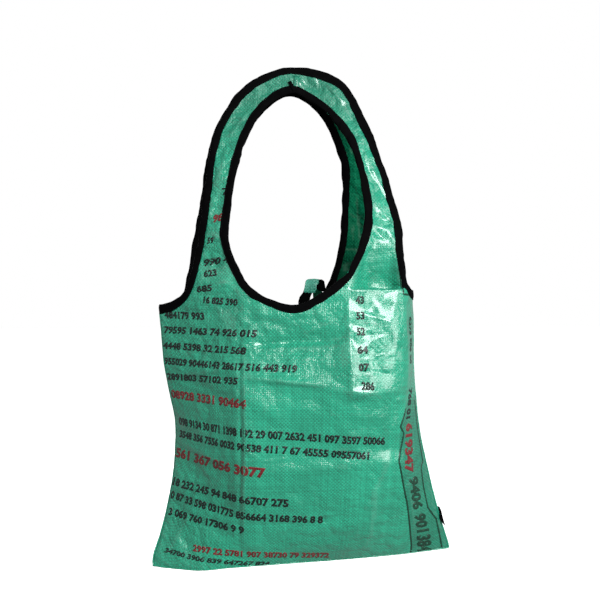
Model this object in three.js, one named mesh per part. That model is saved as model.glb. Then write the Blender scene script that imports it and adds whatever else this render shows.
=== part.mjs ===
// A shopping bag sewn from a woven rice sack, as it hangs open from the crown of its two arch handles.
// Millimetres. X runs along the width, the front faces -Y and +Z is up.
// The origin is the place under the crown where the bag hangs.
import * as THREE from "three";
import { mergeVertices } from "three/addons/utils/BufferGeometryUtils.js";

// Driving dimensions
const CLOTH = 1.2; // laminated sack cloth
const SEAM_OFFSET = 1.0; // each panel's middle layer lies this far from the seam line
const BINDING_WIDTH = 12;
const BINDING_CLOTH = 0.8; // one layer of the bias tape
const BINDING_ROOM = 1.5; // room between the tape and the sack cloth
const EDGE_ROOM = 1.0; // room between the fold of the tape and the cut edge
const FOLD_SOFTNESS = 13; // half the width over which an upright fold is rounded
const STRAP_CURL = 7; // how far a strap's outer side would curl inwards by the width of a shoulder
const CREASE_FADE = 30; // creases die out over this distance from a seam
const SHOULDER_LEFT = -286; // heights of the side seams' top ends
const SHOULDER_RIGHT = -267;
const STRAP_START = 14; // above the left shoulder the seam's pull on a strap starts to let go
const STRAP_FREE = 60; // and here it has gone

const GREEN = new THREE.MeshStandardMaterial({ color: 0x339b7a, roughness: 0.38, metalness: 0 });
const DARK_GREEN = new THREE.MeshStandardMaterial({ color: 0x16664e, roughness: 0.55, metalness: 0 });
const BLACK = new THREE.MeshStandardMaterial({ color: 0x101413, roughness: 0.85, metalness: 0 });

// Tables: a list of rows read by the names of their columns
function table(names, rows) {
  return Object.fromEntries(names.map((name, i) => [name, rows.map((row) => row[i])]));
}

// The two side seams by height
const SEAMS = table(
  ["z", "leftX", "leftY", "rightX", "rightY"],
  [
    [-624, -186, 5, 227, 5],
    [-600, -177, 11, 217, -5],
    [-560, -167, 14, 202, -17],
    [-500, -157, 16, 184, -31],
    [-450, -155, 15, 172, -37],
    [-400, -164, 10, 167, -36],
    [-360, -171, 7, 165, -34],
    [-320, -174, 5, 165, -34],
    [-245, -177, 12, 162, -40],
  ],
);

// Each panel's long upright folds by height, from the bottom seam up through the straps to the crown
const FOLD_COLUMNS = ["z", "outerLeftX", "outerLeftY", "innerLeftX", "innerLeftY"];
FOLD_COLUMNS.push("innerRightX", "innerRightY", "outerRightX", "outerRightY");
const FRONT_FOLDS = table(FOLD_COLUMNS, [
  [-624, -122, -28, -66, -32, 76, -19, 158, -10],
  [-600, -120, -26, -67, -45, 72, -44, 156, -25],
  [-560, -118, -26, -68, -59, 70, -65, 153, -46],
  [-500, -117, -28, -70, -74, 68, -85, 146, -67],
  [-440, -118, -30, -72, -83, 66, -98, 140, -81],
  [-400, -123, -29, -71, -79, 67, -96, 139, -83],
  [-320, -130, -28, -70, -70, 68, -91, 137, -86],
  [-245, -135, -28, -68, -60, 65, -84, 144, -76],
  [-202, -123, -31, -86, -54, 82, -80, 140, -69],
  [-140, -117, -23, -79, -42, 86, -66, 133, -54],
  [-66, -106, -11, -61, -25, 72, -45, 110, -36],
  [0, -80, -2, -14, -9, 16, -12, 84, -21],
  [42, -90, -2, -20, -5, 20, -7, 90, -16],
]);
const BACK_FOLDS = table(FOLD_COLUMNS, [
  [-624, -122, -28, -66, -32, 76, -19, 158, -10],
  [-600, -126, 16, -70, 14, 70, 20, 158, 12],
  [-560, -128, 42, -74, 46, 64, 44, 154, 20],
  [-500, -124, 62, -78, 70, 60, 62, 148, 24],
  [-440, -122, 68, -80, 80, 58, 70, 142, 28],
  [-400, -128, 62, -78, 80, 60, 70, 143, 31],
  [-320, -140, 58, -76, 76, 61, 66, 143, 34],
  [-250, -141, 66, -70, 82, 64, 67, 145, 38],
  [-200, -132, 72, -86, 79, 77, 59, 129, 40],
  [-140, -124, 61, -81, 63, 79, 47, 123, 32],
  [-66, -113, 42, -66, 40, 68, 25, 111, 15],
  [0, -82, 18, -24, 14, 18, 9, 84, 3],
  [42, -90, 12, -20, 6, 20, 3, 90, 2],
]);

// The lower edge of both panels, which is the bottom seam
const BOTTOM_EDGE = table(
  ["x", "z"],
  [
    [-186, -637],
    [-122, -635],
    [-66, -631],
    [76, -630],
    [227, -627],
  ],
);

// The straps: cut edges of the arch from the left base over the crown to the right base
const STRAP_COLUMNS = ["outerX", "outerZ", "innerX", "innerZ"];
const FRONT_STRAP = table(STRAP_COLUMNS, [
  [-135, -249, -68, -248],
  [-123, -202, -86, -204],
  [-116, -140, -81, -142],
  [-105, -66, -63, -67],
  [-90, -27, -43, -28],
  [-66, 8, -22, -6],
  [-34, 29, -7, 2],
  [0, 39, 4, 4],
  [38, 34, 16, -1],
  [74, 14, 37, -15],
  [100, -38, 66, -50],
  [121, -105, 85, -107],
  [138, -176, 91, -175],
  [140, -210, 81, -210],
  [144, -245, 65, -245],
]);
const BACK_STRAP = table(STRAP_COLUMNS, [
  [-141, -254, -70, -253],
  [-132, -199, -86, -198],
  [-120, -129, -80, -130],
  [-108, -60, -64, -60],
  [-92, -23, -43, -24],
  [-67, 6, -24, -5],
  [-36, 25, -9, 3],
  [-2, 35, 3, 5],
  [34, 29, 17, 1],
  [66, 9, 36, -11],
  [93, -34, 58, -38],
  [116, -88, 79, -88],
  [123, -150, 82, -150],
  [127, -205, 79, -205],
  [145, -256, 64, -256],
]);

// The neckline between the straps: how far it dips, by the share of the way across
const FRONT_NECKLINE = table(
  ["across", "dip"],
  [
    [0, 0],
    [0.06, 15],
    [0.2, 27],
    [0.5, 41],
    [0.72, 28],
    [0.88, 14],
    [1, 0],
  ],
);
const BACK_NECKLINE = table(
  ["across", "dip"],
  [
    [0, 0],
    [0.06, 15],
    [0.2, 29],
    [0.5, 41],
    [0.76, 37],
    [0.93, 19],
    [1, 0],
  ],
);

// Soft troughs (positive) and ridges (negative) pressed into a panel: middle, half length and half
// width, slope of its run in degrees, and how deep it is
const CREASE_COLUMNS = ["x", "z", "halfLength", "halfWidth", "slope", "depth"];
const FRONT_CREASES = table(CREASE_COLUMNS, [
  [0, -338, 60, 16, 4, 2.2],
  [-8, -386, 55, 18, -6, 2.6],
  [10, -430, 46, 24, 0, 3.2],
  [0, -478, 60, 16, 8, -2.4],
  [100, -402, 36, 16, 6, -3.2],
  [106, -262, 28, 13, 3, 3.4],
  [116, -247, 14, 12, 20, 3.0],
  [104, -540, 52, 18, 74, -3.0],
  [-112, -352, 34, 15, -12, 2.4],
  [-108, -432, 38, 16, -16, -2.4],
  [-116, -520, 48, 16, -34, 2.8],
  [20, -556, 62, 18, -3, 2.4],
  [-100, -168, 30, 14, 84, 1.4],
  [112, -150, 34, 14, 98, 1.6],
]);
const BACK_CREASES = table(CREASE_COLUMNS, [
  [0, -360, 70, 20, 4, -3.0],
  [-10, -440, 44, 26, 62, -3.4],
  [40, -505, 66, 18, -10, 2.8],
  [-108, -400, 48, 18, 78, -3.0],
  [104, -340, 52, 18, 84, -2.8],
  [6, -562, 60, 18, 6, -2.6],
]);

const FRONT = {
  side: -1,
  folds: FRONT_FOLDS,
  strap: FRONT_STRAP,
  neck: FRONT_NECKLINE,
  creases: FRONT_CREASES,
};
const BACK = {
  side: 1,
  folds: BACK_FOLDS,
  strap: BACK_STRAP,
  neck: BACK_NECKLINE,
  creases: BACK_CREASES,
};

// The small loop sewn behind the back neckline
const LOOP = {
  x: 40,
  width: 38,
  top: -243,
  bottom: -303,
  strip: 16,
  slot: 5.4,
  cloth: 2,
  clearance: 4.6,
  corner: 9,
  cutAcross: 13,
  cutDown: 22,
};

// The blank label caught in the right side seam
const LABEL = { top: -562, bottom: -586, reach: 8, cloth: 1, gap: 0.6 };

// Reads a column of a table at a value of its rising key column, on a smooth curve with no overshoot
function read(rows, key, column, at) {
  const k = rows[key];
  const v = rows[column];
  const last = k.length - 1;
  if (at <= k[0]) return v[0];
  if (at >= k[last]) return v[last];
  let i = 0;
  while (at > k[i + 1]) i += 1;
  const slopeOf = (j) => (v[j + 1] - v[j]) / (k[j + 1] - k[j]);
  const tangent = (j) => {
    if (j === 0 || j === last) return slopeOf(j === 0 ? 0 : last - 1);
    const before = slopeOf(j - 1);
    const after = slopeOf(j);
    return before * after <= 0 ? 0 : (2 * before * after) / (before + after);
  };
  const span = k[i + 1] - k[i];
  const t = (at - k[i]) / span;
  const rise = v[i + 1] - v[i];
  const start = tangent(i) * span;
  const end = tangent(i + 1) * span;
  return v[i] + t * (start + t * (3 * rise - 2 * start - end + t * (start + end - 2 * rise)));
}

// The upright lines of a panel at a height, from the left seam to the right seam
const LINES = ["outerLeft", "innerLeft", "innerRight", "outerRight"];
function linesAt(panel, z) {
  const inner = LINES.map((name) => ({
    x: read(panel.folds, "z", name + "X", z),
    y: read(panel.folds, "z", name + "Y", z),
  }));
  const [outerLeft, innerLeft, innerRight, outerRight] = inner;
  // above the shoulders there is no seam, and a strap's outer side runs on with a slight curl
  const free = THREE.MathUtils.smoothstep(z, SHOULDER_LEFT + STRAP_START, SHOULDER_LEFT + STRAP_FREE);
  const seam = (name, outer, next) => {
    const x = read(SEAMS, "z", name + "X", z);
    const sewn = read(SEAMS, "z", name + "Y", z);
    const runOn = outer.y + ((outer.y - next.y) / (outer.x - next.x)) * (x - outer.x);
    return { x, y: THREE.MathUtils.lerp(sewn, runOn - panel.side * STRAP_CURL, free) };
  };
  return [seam("left", outerLeft, innerLeft), ...inner, seam("right", outerRight, innerRight)];
}

function straightDepth(lines, x) {
  let i = 0;
  while (i < lines.length - 2 && x > lines[i + 1].x) i += 1;
  const share = THREE.MathUtils.clamp((x - lines[i].x) / (lines[i + 1].x - lines[i].x), 0, 1);
  return THREE.MathUtils.lerp(lines[i].y, lines[i + 1].y, share);
}

// How far the creases of a panel press its cloth inwards
function creaseDepth(creases, x, z) {
  let sum = 0;
  for (let i = 0; i < creases.x.length; i += 1) {
    const turn = THREE.MathUtils.degToRad(creases.slope[i]);
    const dx = x - creases.x[i];
    const dz = z - creases.z[i];
    const along = (dx * Math.cos(turn) + dz * Math.sin(turn)) / creases.halfLength[i];
    const across = (dz * Math.cos(turn) - dx * Math.sin(turn)) / creases.halfWidth[i];
    sum += creases.depth[i] * Math.exp(-along * along - across * across);
  }
  return sum;
}

// The middle layer of a panel as a depth over its outline, its upright folds averaged round
const SOFTENING = [
  [-1, 0.1],
  [-0.5, 0.22],
  [0, 0.36],
  [0.5, 0.22],
  [1, 0.1],
];
function depthAt(panel, x, z) {
  const lines = linesAt(panel, z);
  const edge = Math.min(x - lines[0].x, lines[lines.length - 1].x - x);
  const aboveBottom = z - SEAMS.z[0];
  const soft = THREE.MathUtils.clamp(edge, 0, FOLD_SOFTNESS);
  let rounded = 0;
  for (const [shift, weight] of SOFTENING) rounded += weight * straightDepth(lines, x + shift * soft);
  const fade = THREE.MathUtils.smoothstep(Math.min(edge, aboveBottom), 0, CREASE_FADE);
  const pressed = creaseDepth(panel.creases, x, z) * fade;
  return rounded + panel.side * SEAM_OFFSET - panel.side * pressed;
}

function pointAt(panel, x, z) {
  return new THREE.Vector3(x, depthAt(panel, x, z), z);
}

// The direction out of the bag at a place on a panel, from depths a little to either side
function outwardAt(panel, x, z) {
  const h = CLOTH;
  const slopeX = (depthAt(panel, x + h, z) - depthAt(panel, x - h, z)) / (2 * h);
  const slopeZ = (depthAt(panel, x, z + h) - depthAt(panel, x, z - h)) / (2 * h);
  return new THREE.Vector3(-slopeX, 1, -slopeZ).normalize().multiplyScalar(panel.side);
}

// The cut edges of a panel
function strapCurves(panel) {
  const s = panel.strap;
  const curve = (xs, zs) =>
    new THREE.CatmullRomCurve3(
      xs.map((x, i) => new THREE.Vector3(x, 0, zs[i])),
      false,
      "centripetal",
    );
  return { outer: curve(s.outerX, s.outerZ), inner: curve(s.innerX, s.innerZ) };
}

// The top of the cloth at a share of the way across one of its fields between two upright lines
const FIELDS = { shoulderLeft: 0, strapLeft: 1, neck: 2, strapRight: 3, shoulderRight: 4 };
function topEdge(panel, field, share) {
  const s = panel.strap;
  const end = s.outerX.length - 1;
  const marks = [
    { x: SEAMS.leftX[SEAMS.leftX.length - 1], z: SHOULDER_LEFT },
    { x: s.outerX[0], z: s.outerZ[0] },
    { x: s.innerX[0], z: s.innerZ[0] },
    { x: s.innerX[end], z: s.innerZ[end] },
    { x: s.outerX[end], z: s.outerZ[end] },
    { x: SEAMS.rightX[SEAMS.rightX.length - 1], z: SHOULDER_RIGHT },
  ];
  const from = marks[field];
  const to = marks[field + 1];
  const x = THREE.MathUtils.lerp(from.x, to.x, share);
  const straight = THREE.MathUtils.lerp(from.z, to.z, share);
  if (field === FIELDS.neck) return { x, z: straight - read(panel.neck, "across", "dip", share) };
  const round = (way) => 1 - Math.sqrt(Math.max(0, 1 - way * way));
  if (field === FIELDS.shoulderLeft) return { x, z: from.z + (to.z - from.z) * round(share) };
  if (field === FIELDS.shoulderRight) return { x, z: to.z + (from.z - to.z) * round(1 - share) };
  return { x, z: straight };
}

// Upright mesh columns of the body, by field and share across it
const SHOULDER_SHARES = { left: [0, 0.24, 0.45, 0.64, 0.8, 0.92], right: [0.15, 0.4, 0.7, 1] };
const STRAP_SHARES = [0, 0.1, 0.26, 0.5, 0.74, 0.9, 1];
const NECK_SHARES = [0.05, 0.12, 0.2, 0.29, 0.38, 0.47, 0.56, 0.65, 0.74, 0.82, 0.89, 0.95];
const BODY_COLUMNS = [
  ...SHOULDER_SHARES.left.map((share) => [FIELDS.shoulderLeft, share]),
  ...STRAP_SHARES.map((share) => [FIELDS.strapLeft, share]),
  ...NECK_SHARES.map((share) => [FIELDS.neck, share]),
  ...STRAP_SHARES.map((share) => [FIELDS.strapRight, share]),
  ...SHOULDER_SHARES.right.map((share) => [FIELDS.shoulderRight, share]),
];
const BODY_ROWS = 24;
const ARCH_ROWS = 54;
const COLUMN_SETTLE = 0.1; // share of the way down over which a column reaches its upright line

// A grid of points as a sheet: the list of its points and the triangles between them
function gridFaces(rows) {
  const points = rows.flat();
  const width = rows[0].length;
  const faces = [];
  for (let j = 0; j + 1 < rows.length; j += 1)
    for (let i = 0; i + 1 < width; i += 1) {
      const a = j * width + i;
      faces.push([a, a + 1, a + width + 1], [a, a + width + 1, a + width]);
    }
  return { points, faces };
}

function bodyGrid(panel) {
  const rows = [];
  for (let j = 0; j <= BODY_ROWS; j += 1) {
    const down = j / BODY_ROWS;
    rows.push(
      BODY_COLUMNS.map(([field, share]) => {
        const top = topEdge(panel, field, share);
        const low = linesAt(panel, SEAMS.z[0]);
        const lowX = THREE.MathUtils.lerp(low[field].x, low[field + 1].x, share);
        const z = THREE.MathUtils.lerp(top.z, read(BOTTOM_EDGE, "x", "z", lowX), down);
        const lines = linesAt(panel, z);
        const lineX = THREE.MathUtils.lerp(lines[field].x, lines[field + 1].x, share);
        const x = THREE.MathUtils.lerp(top.x, lineX, THREE.MathUtils.smoothstep(down, 0, COLUMN_SETTLE));
        return pointAt(panel, x, z);
      }),
    );
  }
  return gridFaces(rows);
}

function archGrid(panel) {
  const { outer, inner } = strapCurves(panel);
  const rows = [];
  for (let j = 0; j <= ARCH_ROWS; j += 1) {
    const from = outer.getPoint(j / ARCH_ROWS);
    const to = inner.getPoint(j / ARCH_ROWS);
    rows.push(
      STRAP_SHARES.map((share) => {
        const p = from.clone().lerp(to, share);
        return pointAt(panel, p.x, p.z);
      }),
    );
  }
  return gridFaces(rows);
}

// Merges grids whose edges share points, and turns every face to look out of the bag
function joinGrids(grids, side) {
  const places = new Map();
  const points = [];
  const faces = [];
  for (const grid of grids) {
    const index = grid.points.map((p) => {
      const key = p.toArray().map((n) => Math.round(n * 100)).join();
      if (!places.has(key)) {
        places.set(key, points.length);
        points.push(p);
      }
      return places.get(key);
    });
    for (const face of grid.faces) {
      const [a, b, c] = face.map((i) => index[i]);
      if (a === b || b === c || c === a) continue;
      const normal = points[b].clone().sub(points[a]).cross(points[c].clone().sub(points[a]));
      faces.push(normal.y * side > 0 ? [a, b, c] : [a, c, b]);
    }
  }
  return { points, faces };
}

// A closed solid of even thickness around a sheet, walled along its open edges
function thickSheet(panel, sheet, thickness) {
  const count = sheet.points.length;
  const place = [];
  for (const layer of [0.5, -0.5])
    for (const p of sheet.points)
      place.push(...p.clone().addScaledVector(outwardAt(panel, p.x, p.z), layer * thickness).toArray());
  const index = [];
  const open = new Map();
  for (const [a, b, c] of sheet.faces) {
    index.push(a, b, c, a + count, c + count, b + count);
    for (const [from, to] of [
      [a, b],
      [b, c],
      [c, a],
    ]) {
      const back = to + "," + from;
      if (open.has(back)) open.delete(back);
      else open.set(from + "," + to, [from, to]);
    }
  }
  for (const [from, to] of open.values()) index.push(from, from + count, to + count, from, to + count, to);
  const geometry = new THREE.BufferGeometry();
  geometry.setAttribute("position", new THREE.Float32BufferAttribute(place, 3));
  geometry.setIndex(index);
  return geometry;
}

function panelGeometry(panel) {
  return thickSheet(panel, joinGrids([bodyGrid(panel), archGrid(panel)], panel.side), CLOTH);
}

// The two cut edges that are bound, as evenly spaced points in the plane of the outline
const STEP_ALONG_EDGE = 13.5;
const STRAP_POINTS = 28;
function edgePath(points, closed) {
  const curve = new THREE.CatmullRomCurve3(points, closed, "centripetal");
  const steps = Math.round(curve.getLength() / STEP_ALONG_EDGE);
  const path = curve.getSpacedPoints(steps);
  if (closed) path.pop();
  return path;
}

const SEAM_CLEARANCE = 0.1; // share of a shoulder left free where the two panels' bindings meet
function outerEdge(panel) {
  const flat = ({ x, z }) => new THREE.Vector3(x, 0, z);
  const leftShares = [SEAM_CLEARANCE, ...SHOULDER_SHARES.left.slice(1)];
  const rightShares = [...SHOULDER_SHARES.right.slice(0, -1), 1 - SEAM_CLEARANCE];
  const left = leftShares.map((share) => flat(topEdge(panel, FIELDS.shoulderLeft, share)));
  const right = rightShares.map((share) => flat(topEdge(panel, FIELDS.shoulderRight, share)));
  return edgePath([...left, ...strapCurves(panel).outer.getPoints(STRAP_POINTS), ...right], false);
}

function mouthEdge(panel) {
  const flat = ({ x, z }) => new THREE.Vector3(x, 0, z);
  const neck = [...NECK_SHARES].reverse().map((share) => flat(topEdge(panel, FIELDS.neck, share)));
  return edgePath([...strapCurves(panel).inner.getPoints(STRAP_POINTS), ...neck], true);
}

// A tape folded over a cut edge: a channel section carried along the edge on the panel's surface.
// inwards is 1 where the cloth lies right of the path and -1 where it lies left of it.
function bindingGeometry(panel, path, closed, inwards) {
  const room = CLOTH / 2 + BINDING_ROOM;
  const outside = room + BINDING_CLOTH;
  const middle = BINDING_WIDTH / 2;
  const section = [
    [-EDGE_ROOM - BINDING_CLOTH, outside],
    [-EDGE_ROOM - BINDING_CLOTH, -outside],
    [middle, -outside],
    [BINDING_WIDTH, -outside],
    [BINDING_WIDTH, -room],
    [middle, -room],
    [-EDGE_ROOM, -room],
    [-EDGE_ROOM, room],
    [middle, room],
    [BINDING_WIDTH, room],
    [BINDING_WIDTH, outside],
    [middle, outside],
  ];
  const count = path.length;
  const place = [];
  path.forEach((at, i) => {
    const before = path[closed ? (i + count - 1) % count : Math.max(i - 1, 0)];
    const after = path[closed ? (i + 1) % count : Math.min(i + 1, count - 1)];
    const run = after.clone().sub(before).normalize();
    const into = new THREE.Vector3(run.z, 0, -run.x).multiplyScalar(inwards);
    const edge = pointAt(panel, at.x, at.z);
    const probe = pointAt(panel, at.x + into.x * middle, at.z + into.z * middle);
    const stretch = middle / probe.distanceTo(edge);
    for (const [reach, height] of section) {
      const x = at.x + into.x * reach * stretch;
      const z = at.z + into.z * reach * stretch;
      const onCloth = pointAt(panel, x, z);
      place.push(...onCloth.addScaledVector(outwardAt(panel, x, z), height).toArray());
    }
  });
  const n = section.length;
  const index = [];
  for (let i = 0; i < (closed ? count : count - 1); i += 1)
    for (let k = 0; k < n; k += 1) {
      const a = i * n + k;
      const b = i * n + ((k + 1) % n);
      const c = ((i + 1) % count) * n + ((k + 1) % n);
      const d = ((i + 1) % count) * n + k;
      index.push(a, b, c, a, c, d);
    }
  if (!closed) {
    const outline = section.map(([reach, height]) => new THREE.Vector2(reach, height));
    const last = (count - 1) * n;
    for (const [a, b, c] of THREE.ShapeUtils.triangulateShape(outline, [])) {
      index.push(a, c, b, last + a, last + b, last + c);
    }
  }
  const geometry = new THREE.BufferGeometry();
  geometry.setAttribute("position", new THREE.Float32BufferAttribute(place, 3));
  geometry.setIndex(index);
  return facingOut(geometry);
}

// Turns a closed geometry right side out by the sign of its volume
function facingOut(geometry) {
  const p = geometry.getAttribute("position");
  const index = geometry.getIndex();
  const at = (i) => new THREE.Vector3().fromBufferAttribute(p, index.getX(i));
  let volume = 0;
  for (let i = 0; i < index.count; i += 3) volume += at(i).dot(at(i + 1).cross(at(i + 2)));
  if (volume < 0)
    for (let i = 0; i < index.count; i += 3) {
      const b = index.getX(i + 1);
      index.setX(i + 1, index.getX(i + 2));
      index.setX(i + 2, b);
    }
  return geometry;
}

// The loop: a strip that goes up, folds over at a slanted corner and comes down again
function loopGeometry() {
  const half = LOOP.width / 2;
  const height = LOOP.top - LOOP.bottom;
  const slotTop = height - LOOP.strip;
  const slot = LOOP.slot / 2;
  const shape = new THREE.Shape();
  shape.moveTo(-half, 0);
  shape.lineTo(-slot, 0);
  shape.lineTo(-slot, slotTop - slot);
  shape.absarc(0, slotTop - slot, slot, Math.PI, 0, true);
  shape.lineTo(slot, 0);
  shape.lineTo(half, 0);
  shape.lineTo(half, height - LOOP.corner);
  shape.absarc(half - LOOP.corner, height - LOOP.corner, LOOP.corner, 0, Math.PI / 2, false);
  shape.lineTo(-half + LOOP.cutAcross, height);
  shape.lineTo(-half, height - LOOP.cutDown);
  return new THREE.ExtrudeGeometry(shape, { depth: LOOP.cloth, bevelEnabled: false, curveSegments: 5 });
}

function named(name, geometry, material) {
  const mesh = new THREE.Mesh(geometry, material);
  mesh.name = name;
  return mesh;
}

function panelPieces(name, panel) {
  return [
    named(name + "_panel", panelGeometry(panel), GREEN),
    named(name + "_outer_binding", bindingGeometry(panel, outerEdge(panel), false, 1), BLACK),
    named(name + "_mouth_binding", bindingGeometry(panel, mouthEdge(panel), true, -1), BLACK),
  ];
}

function loopPiece() {
  const mesh = named("closing_loop", loopGeometry(), DARK_GREEN);
  mesh.rotation.x = Math.PI / 2;
  const half = LOOP.width / 2;
  const left = depthAt(BACK, LOOP.x - half, SHOULDER_LEFT);
  const right = depthAt(BACK, LOOP.x + half, SHOULDER_LEFT);
  const turned = new THREE.Group();
  turned.rotation.z = Math.atan2(right - left, LOOP.width);
  turned.position.set(LOOP.x, Math.min(left, right) - LOOP.clearance, LOOP.bottom);
  turned.add(mesh);
  return turned;
}

function labelPiece() {
  const seamAt = (z) => read(SEAMS, "z", "rightX", z) + LABEL.gap;
  const shape = new THREE.Shape([
    new THREE.Vector2(seamAt(LABEL.bottom), LABEL.bottom),
    new THREE.Vector2(seamAt(LABEL.bottom) + LABEL.reach, LABEL.bottom),
    new THREE.Vector2(seamAt(LABEL.top) + LABEL.reach, LABEL.top),
    new THREE.Vector2(seamAt(LABEL.top), LABEL.top),
  ]);
  const geometry = new THREE.ExtrudeGeometry(shape, { depth: LABEL.cloth, bevelEnabled: false });
  const mesh = named("side_label", geometry, BLACK);
  mesh.rotation.x = Math.PI / 2;
  mesh.position.y = read(SEAMS, "z", "rightY", (LABEL.top + LABEL.bottom) / 2) + LABEL.cloth / 2;
  return mesh;
}

const bag = new THREE.Group();
bag.name = "rice_sack_bag";
bag.add(...panelPieces("front", FRONT), ...panelPieces("back", BACK), loopPiece(), labelPiece());
bag.traverse((mesh) => {
  if (!mesh.isMesh) return;
  mesh.geometry.deleteAttribute("uv");
  mesh.geometry.deleteAttribute("normal");
  mesh.geometry = mergeVertices(mesh.geometry, 1e-3);
  mesh.geometry.computeVertexNormals();
});

export default bag;
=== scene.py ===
# %% [markdown]
# # A shopping bag sewn from a woven sack
# The bag is cut from a laminated sack: flat plastic tapes woven one over one, with a thin glossy
# film pressed on. Two panels are sewn at the sides and the bottom, and each panel runs up into an
# arch that serves as a handle. Every cut edge is bound with black bias tape.
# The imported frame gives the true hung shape, so this lesson dresses it: finer cloth, puckered
# tape, seams, a folded loop and the finishes. Everything is in metres unless a name says mm.

# %% Load the frame
import math

import bmesh
import bpy
import numpy as np
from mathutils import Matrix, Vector, geometry
from mathutils.bvhtree import BVHTree
from mathutils.kdtree import KDTree


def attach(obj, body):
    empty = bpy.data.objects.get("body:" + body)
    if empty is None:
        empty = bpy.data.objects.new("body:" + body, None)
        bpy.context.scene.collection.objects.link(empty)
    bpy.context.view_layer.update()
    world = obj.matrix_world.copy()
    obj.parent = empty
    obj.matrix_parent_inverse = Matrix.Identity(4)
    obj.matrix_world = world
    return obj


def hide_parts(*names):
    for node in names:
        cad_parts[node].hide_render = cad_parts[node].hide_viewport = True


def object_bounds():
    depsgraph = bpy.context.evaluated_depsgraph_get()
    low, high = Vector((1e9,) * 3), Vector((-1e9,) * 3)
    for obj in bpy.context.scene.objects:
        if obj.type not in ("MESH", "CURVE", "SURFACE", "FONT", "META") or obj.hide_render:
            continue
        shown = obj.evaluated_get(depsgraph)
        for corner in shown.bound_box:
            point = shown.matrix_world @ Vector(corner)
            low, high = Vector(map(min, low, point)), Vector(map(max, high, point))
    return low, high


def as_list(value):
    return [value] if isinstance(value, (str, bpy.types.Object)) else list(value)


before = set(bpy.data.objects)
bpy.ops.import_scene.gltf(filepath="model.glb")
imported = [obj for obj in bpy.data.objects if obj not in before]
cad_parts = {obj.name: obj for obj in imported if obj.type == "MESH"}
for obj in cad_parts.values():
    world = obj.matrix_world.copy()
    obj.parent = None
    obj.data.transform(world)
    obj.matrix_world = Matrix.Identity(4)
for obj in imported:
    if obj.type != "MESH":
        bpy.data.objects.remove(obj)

CAD_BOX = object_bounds()
MM = 0.001
print("frame box in mm:", [[round(c / MM) for c in corner] for corner in CAD_BOX])

# %% [markdown]
# ## Where the viewer stands
# The bag hangs at eye height and is seen a little from its left, so the horizon crosses it near
# the neckline. A camera could be aimed by eye, but a lens, a distance and an angle are easier to
# keep. The lens stays level and is shifted up a touch, which keeps upright lines upright.

# %% Camera
CAMERA_AZIMUTH = -7.0
CAMERA_DISTANCE = 1.080
CAMERA_AIM = Vector((0.012, -0.019, -0.294))
CAMERA_LENS = 48.0
CAMERA_SENSOR = 36.0
CAMERA_SHIFT = 0.02


def make_camera():
    turn = math.radians(CAMERA_AZIMUTH)
    back = Vector((math.sin(turn), -math.cos(turn), 0))
    data = bpy.data.cameras.new("camera")
    data.lens = CAMERA_LENS
    data.sensor_width = CAMERA_SENSOR
    data.shift_y = CAMERA_SHIFT
    camera = bpy.data.objects.new("camera", data)
    camera.location = CAMERA_AIM + back * CAMERA_DISTANCE
    camera.rotation_euler = (-back).to_track_quat("-Z", "Y").to_euler()
    bpy.context.scene.collection.objects.link(camera)
    bpy.context.scene.camera = camera
    return camera


camera = make_camera()
print("camera stands at", [round(c, 3) for c in camera.location])

# %% [markdown]
# ## Floor and light
# The bag is shown on plain white. A pale floor lies some way below it. A soft light high at the
# front right shapes the folds, a tall one lower down makes the broad sheen on the film, a faint
# one answers from the left, one behind serves the back, and a white sky closes the rest. A white
# floor under a glossy bag would light it from below like a mirror, so the floor is left out of the
# soft light that reaches the cloth. Colours are kept as they are, without a film look, because
# the white has to stay white.

# %% Stage
FLOOR_DROP = 0.30
FLOOR_SIZE = 60.0
FLOOR_PAINT = {
    "Base Color": (0.9, 0.9, 0.9, 1),
    "Roughness": 0.8,
    "Emission Color": (1, 1, 1, 1),
    "Emission Strength": 0.8,
}
LIGHTS = {
    "key_light": {"place": (1.05, -2.6, 1.05), "aim": (0.03, 0, -0.32), "size": (0.9, 0.9), "watts": 84},
    "sheen_light": {"place": (1.05, -1.25, -0.1), "aim": (0.08, 0, -0.33), "size": (0.5, 0.7), "watts": 13},
    "fill_light": {"place": (-1.6, -1.5, 0.5), "aim": (0, 0, -0.3), "size": (1.0, 1.0), "watts": 4},
    "behind_light": {"place": (-1.3, 2.7, 0.8), "aim": (0, 0, -0.32), "size": (1.1, 1.1), "watts": 45},
}
SKY_LIGHT = 0.36


def add_object(name, data):
    piece = bpy.data.objects.new(name, data)
    bpy.context.scene.collection.objects.link(piece)
    return piece


def area_light(name, place, aim, size, watts):
    data = bpy.data.lights.new(name, "AREA")
    data.shape = "RECTANGLE"
    data.size, data.size_y = size
    data.energy = watts
    light = add_object(name, data)
    light.location = place
    light.rotation_euler = (Vector(aim) - Vector(place)).to_track_quat("-Z", "Y").to_euler()
    return light


def make_floor():
    half = FLOOR_SIZE / 2
    height = CAD_BOX[0].z - FLOOR_DROP
    mesh = bpy.data.meshes.new("floor")
    corners = [(-half, -half), (half, -half), (half, half), (-half, half)]
    mesh.from_pydata([(x, y, height) for x, y in corners], [], [(0, 1, 2, 3)])
    floor = add_object("floor", mesh)
    paint = bpy.data.materials.new("white_floor")
    paint.use_nodes = True
    shader = paint.node_tree.nodes["Principled BSDF"]
    for socket, value in FLOOR_PAINT.items():
        shader.inputs[socket].default_value = value
    mesh.materials.append(paint)
    floor.visible_diffuse = False
    floor.visible_glossy = False
    return floor


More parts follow.
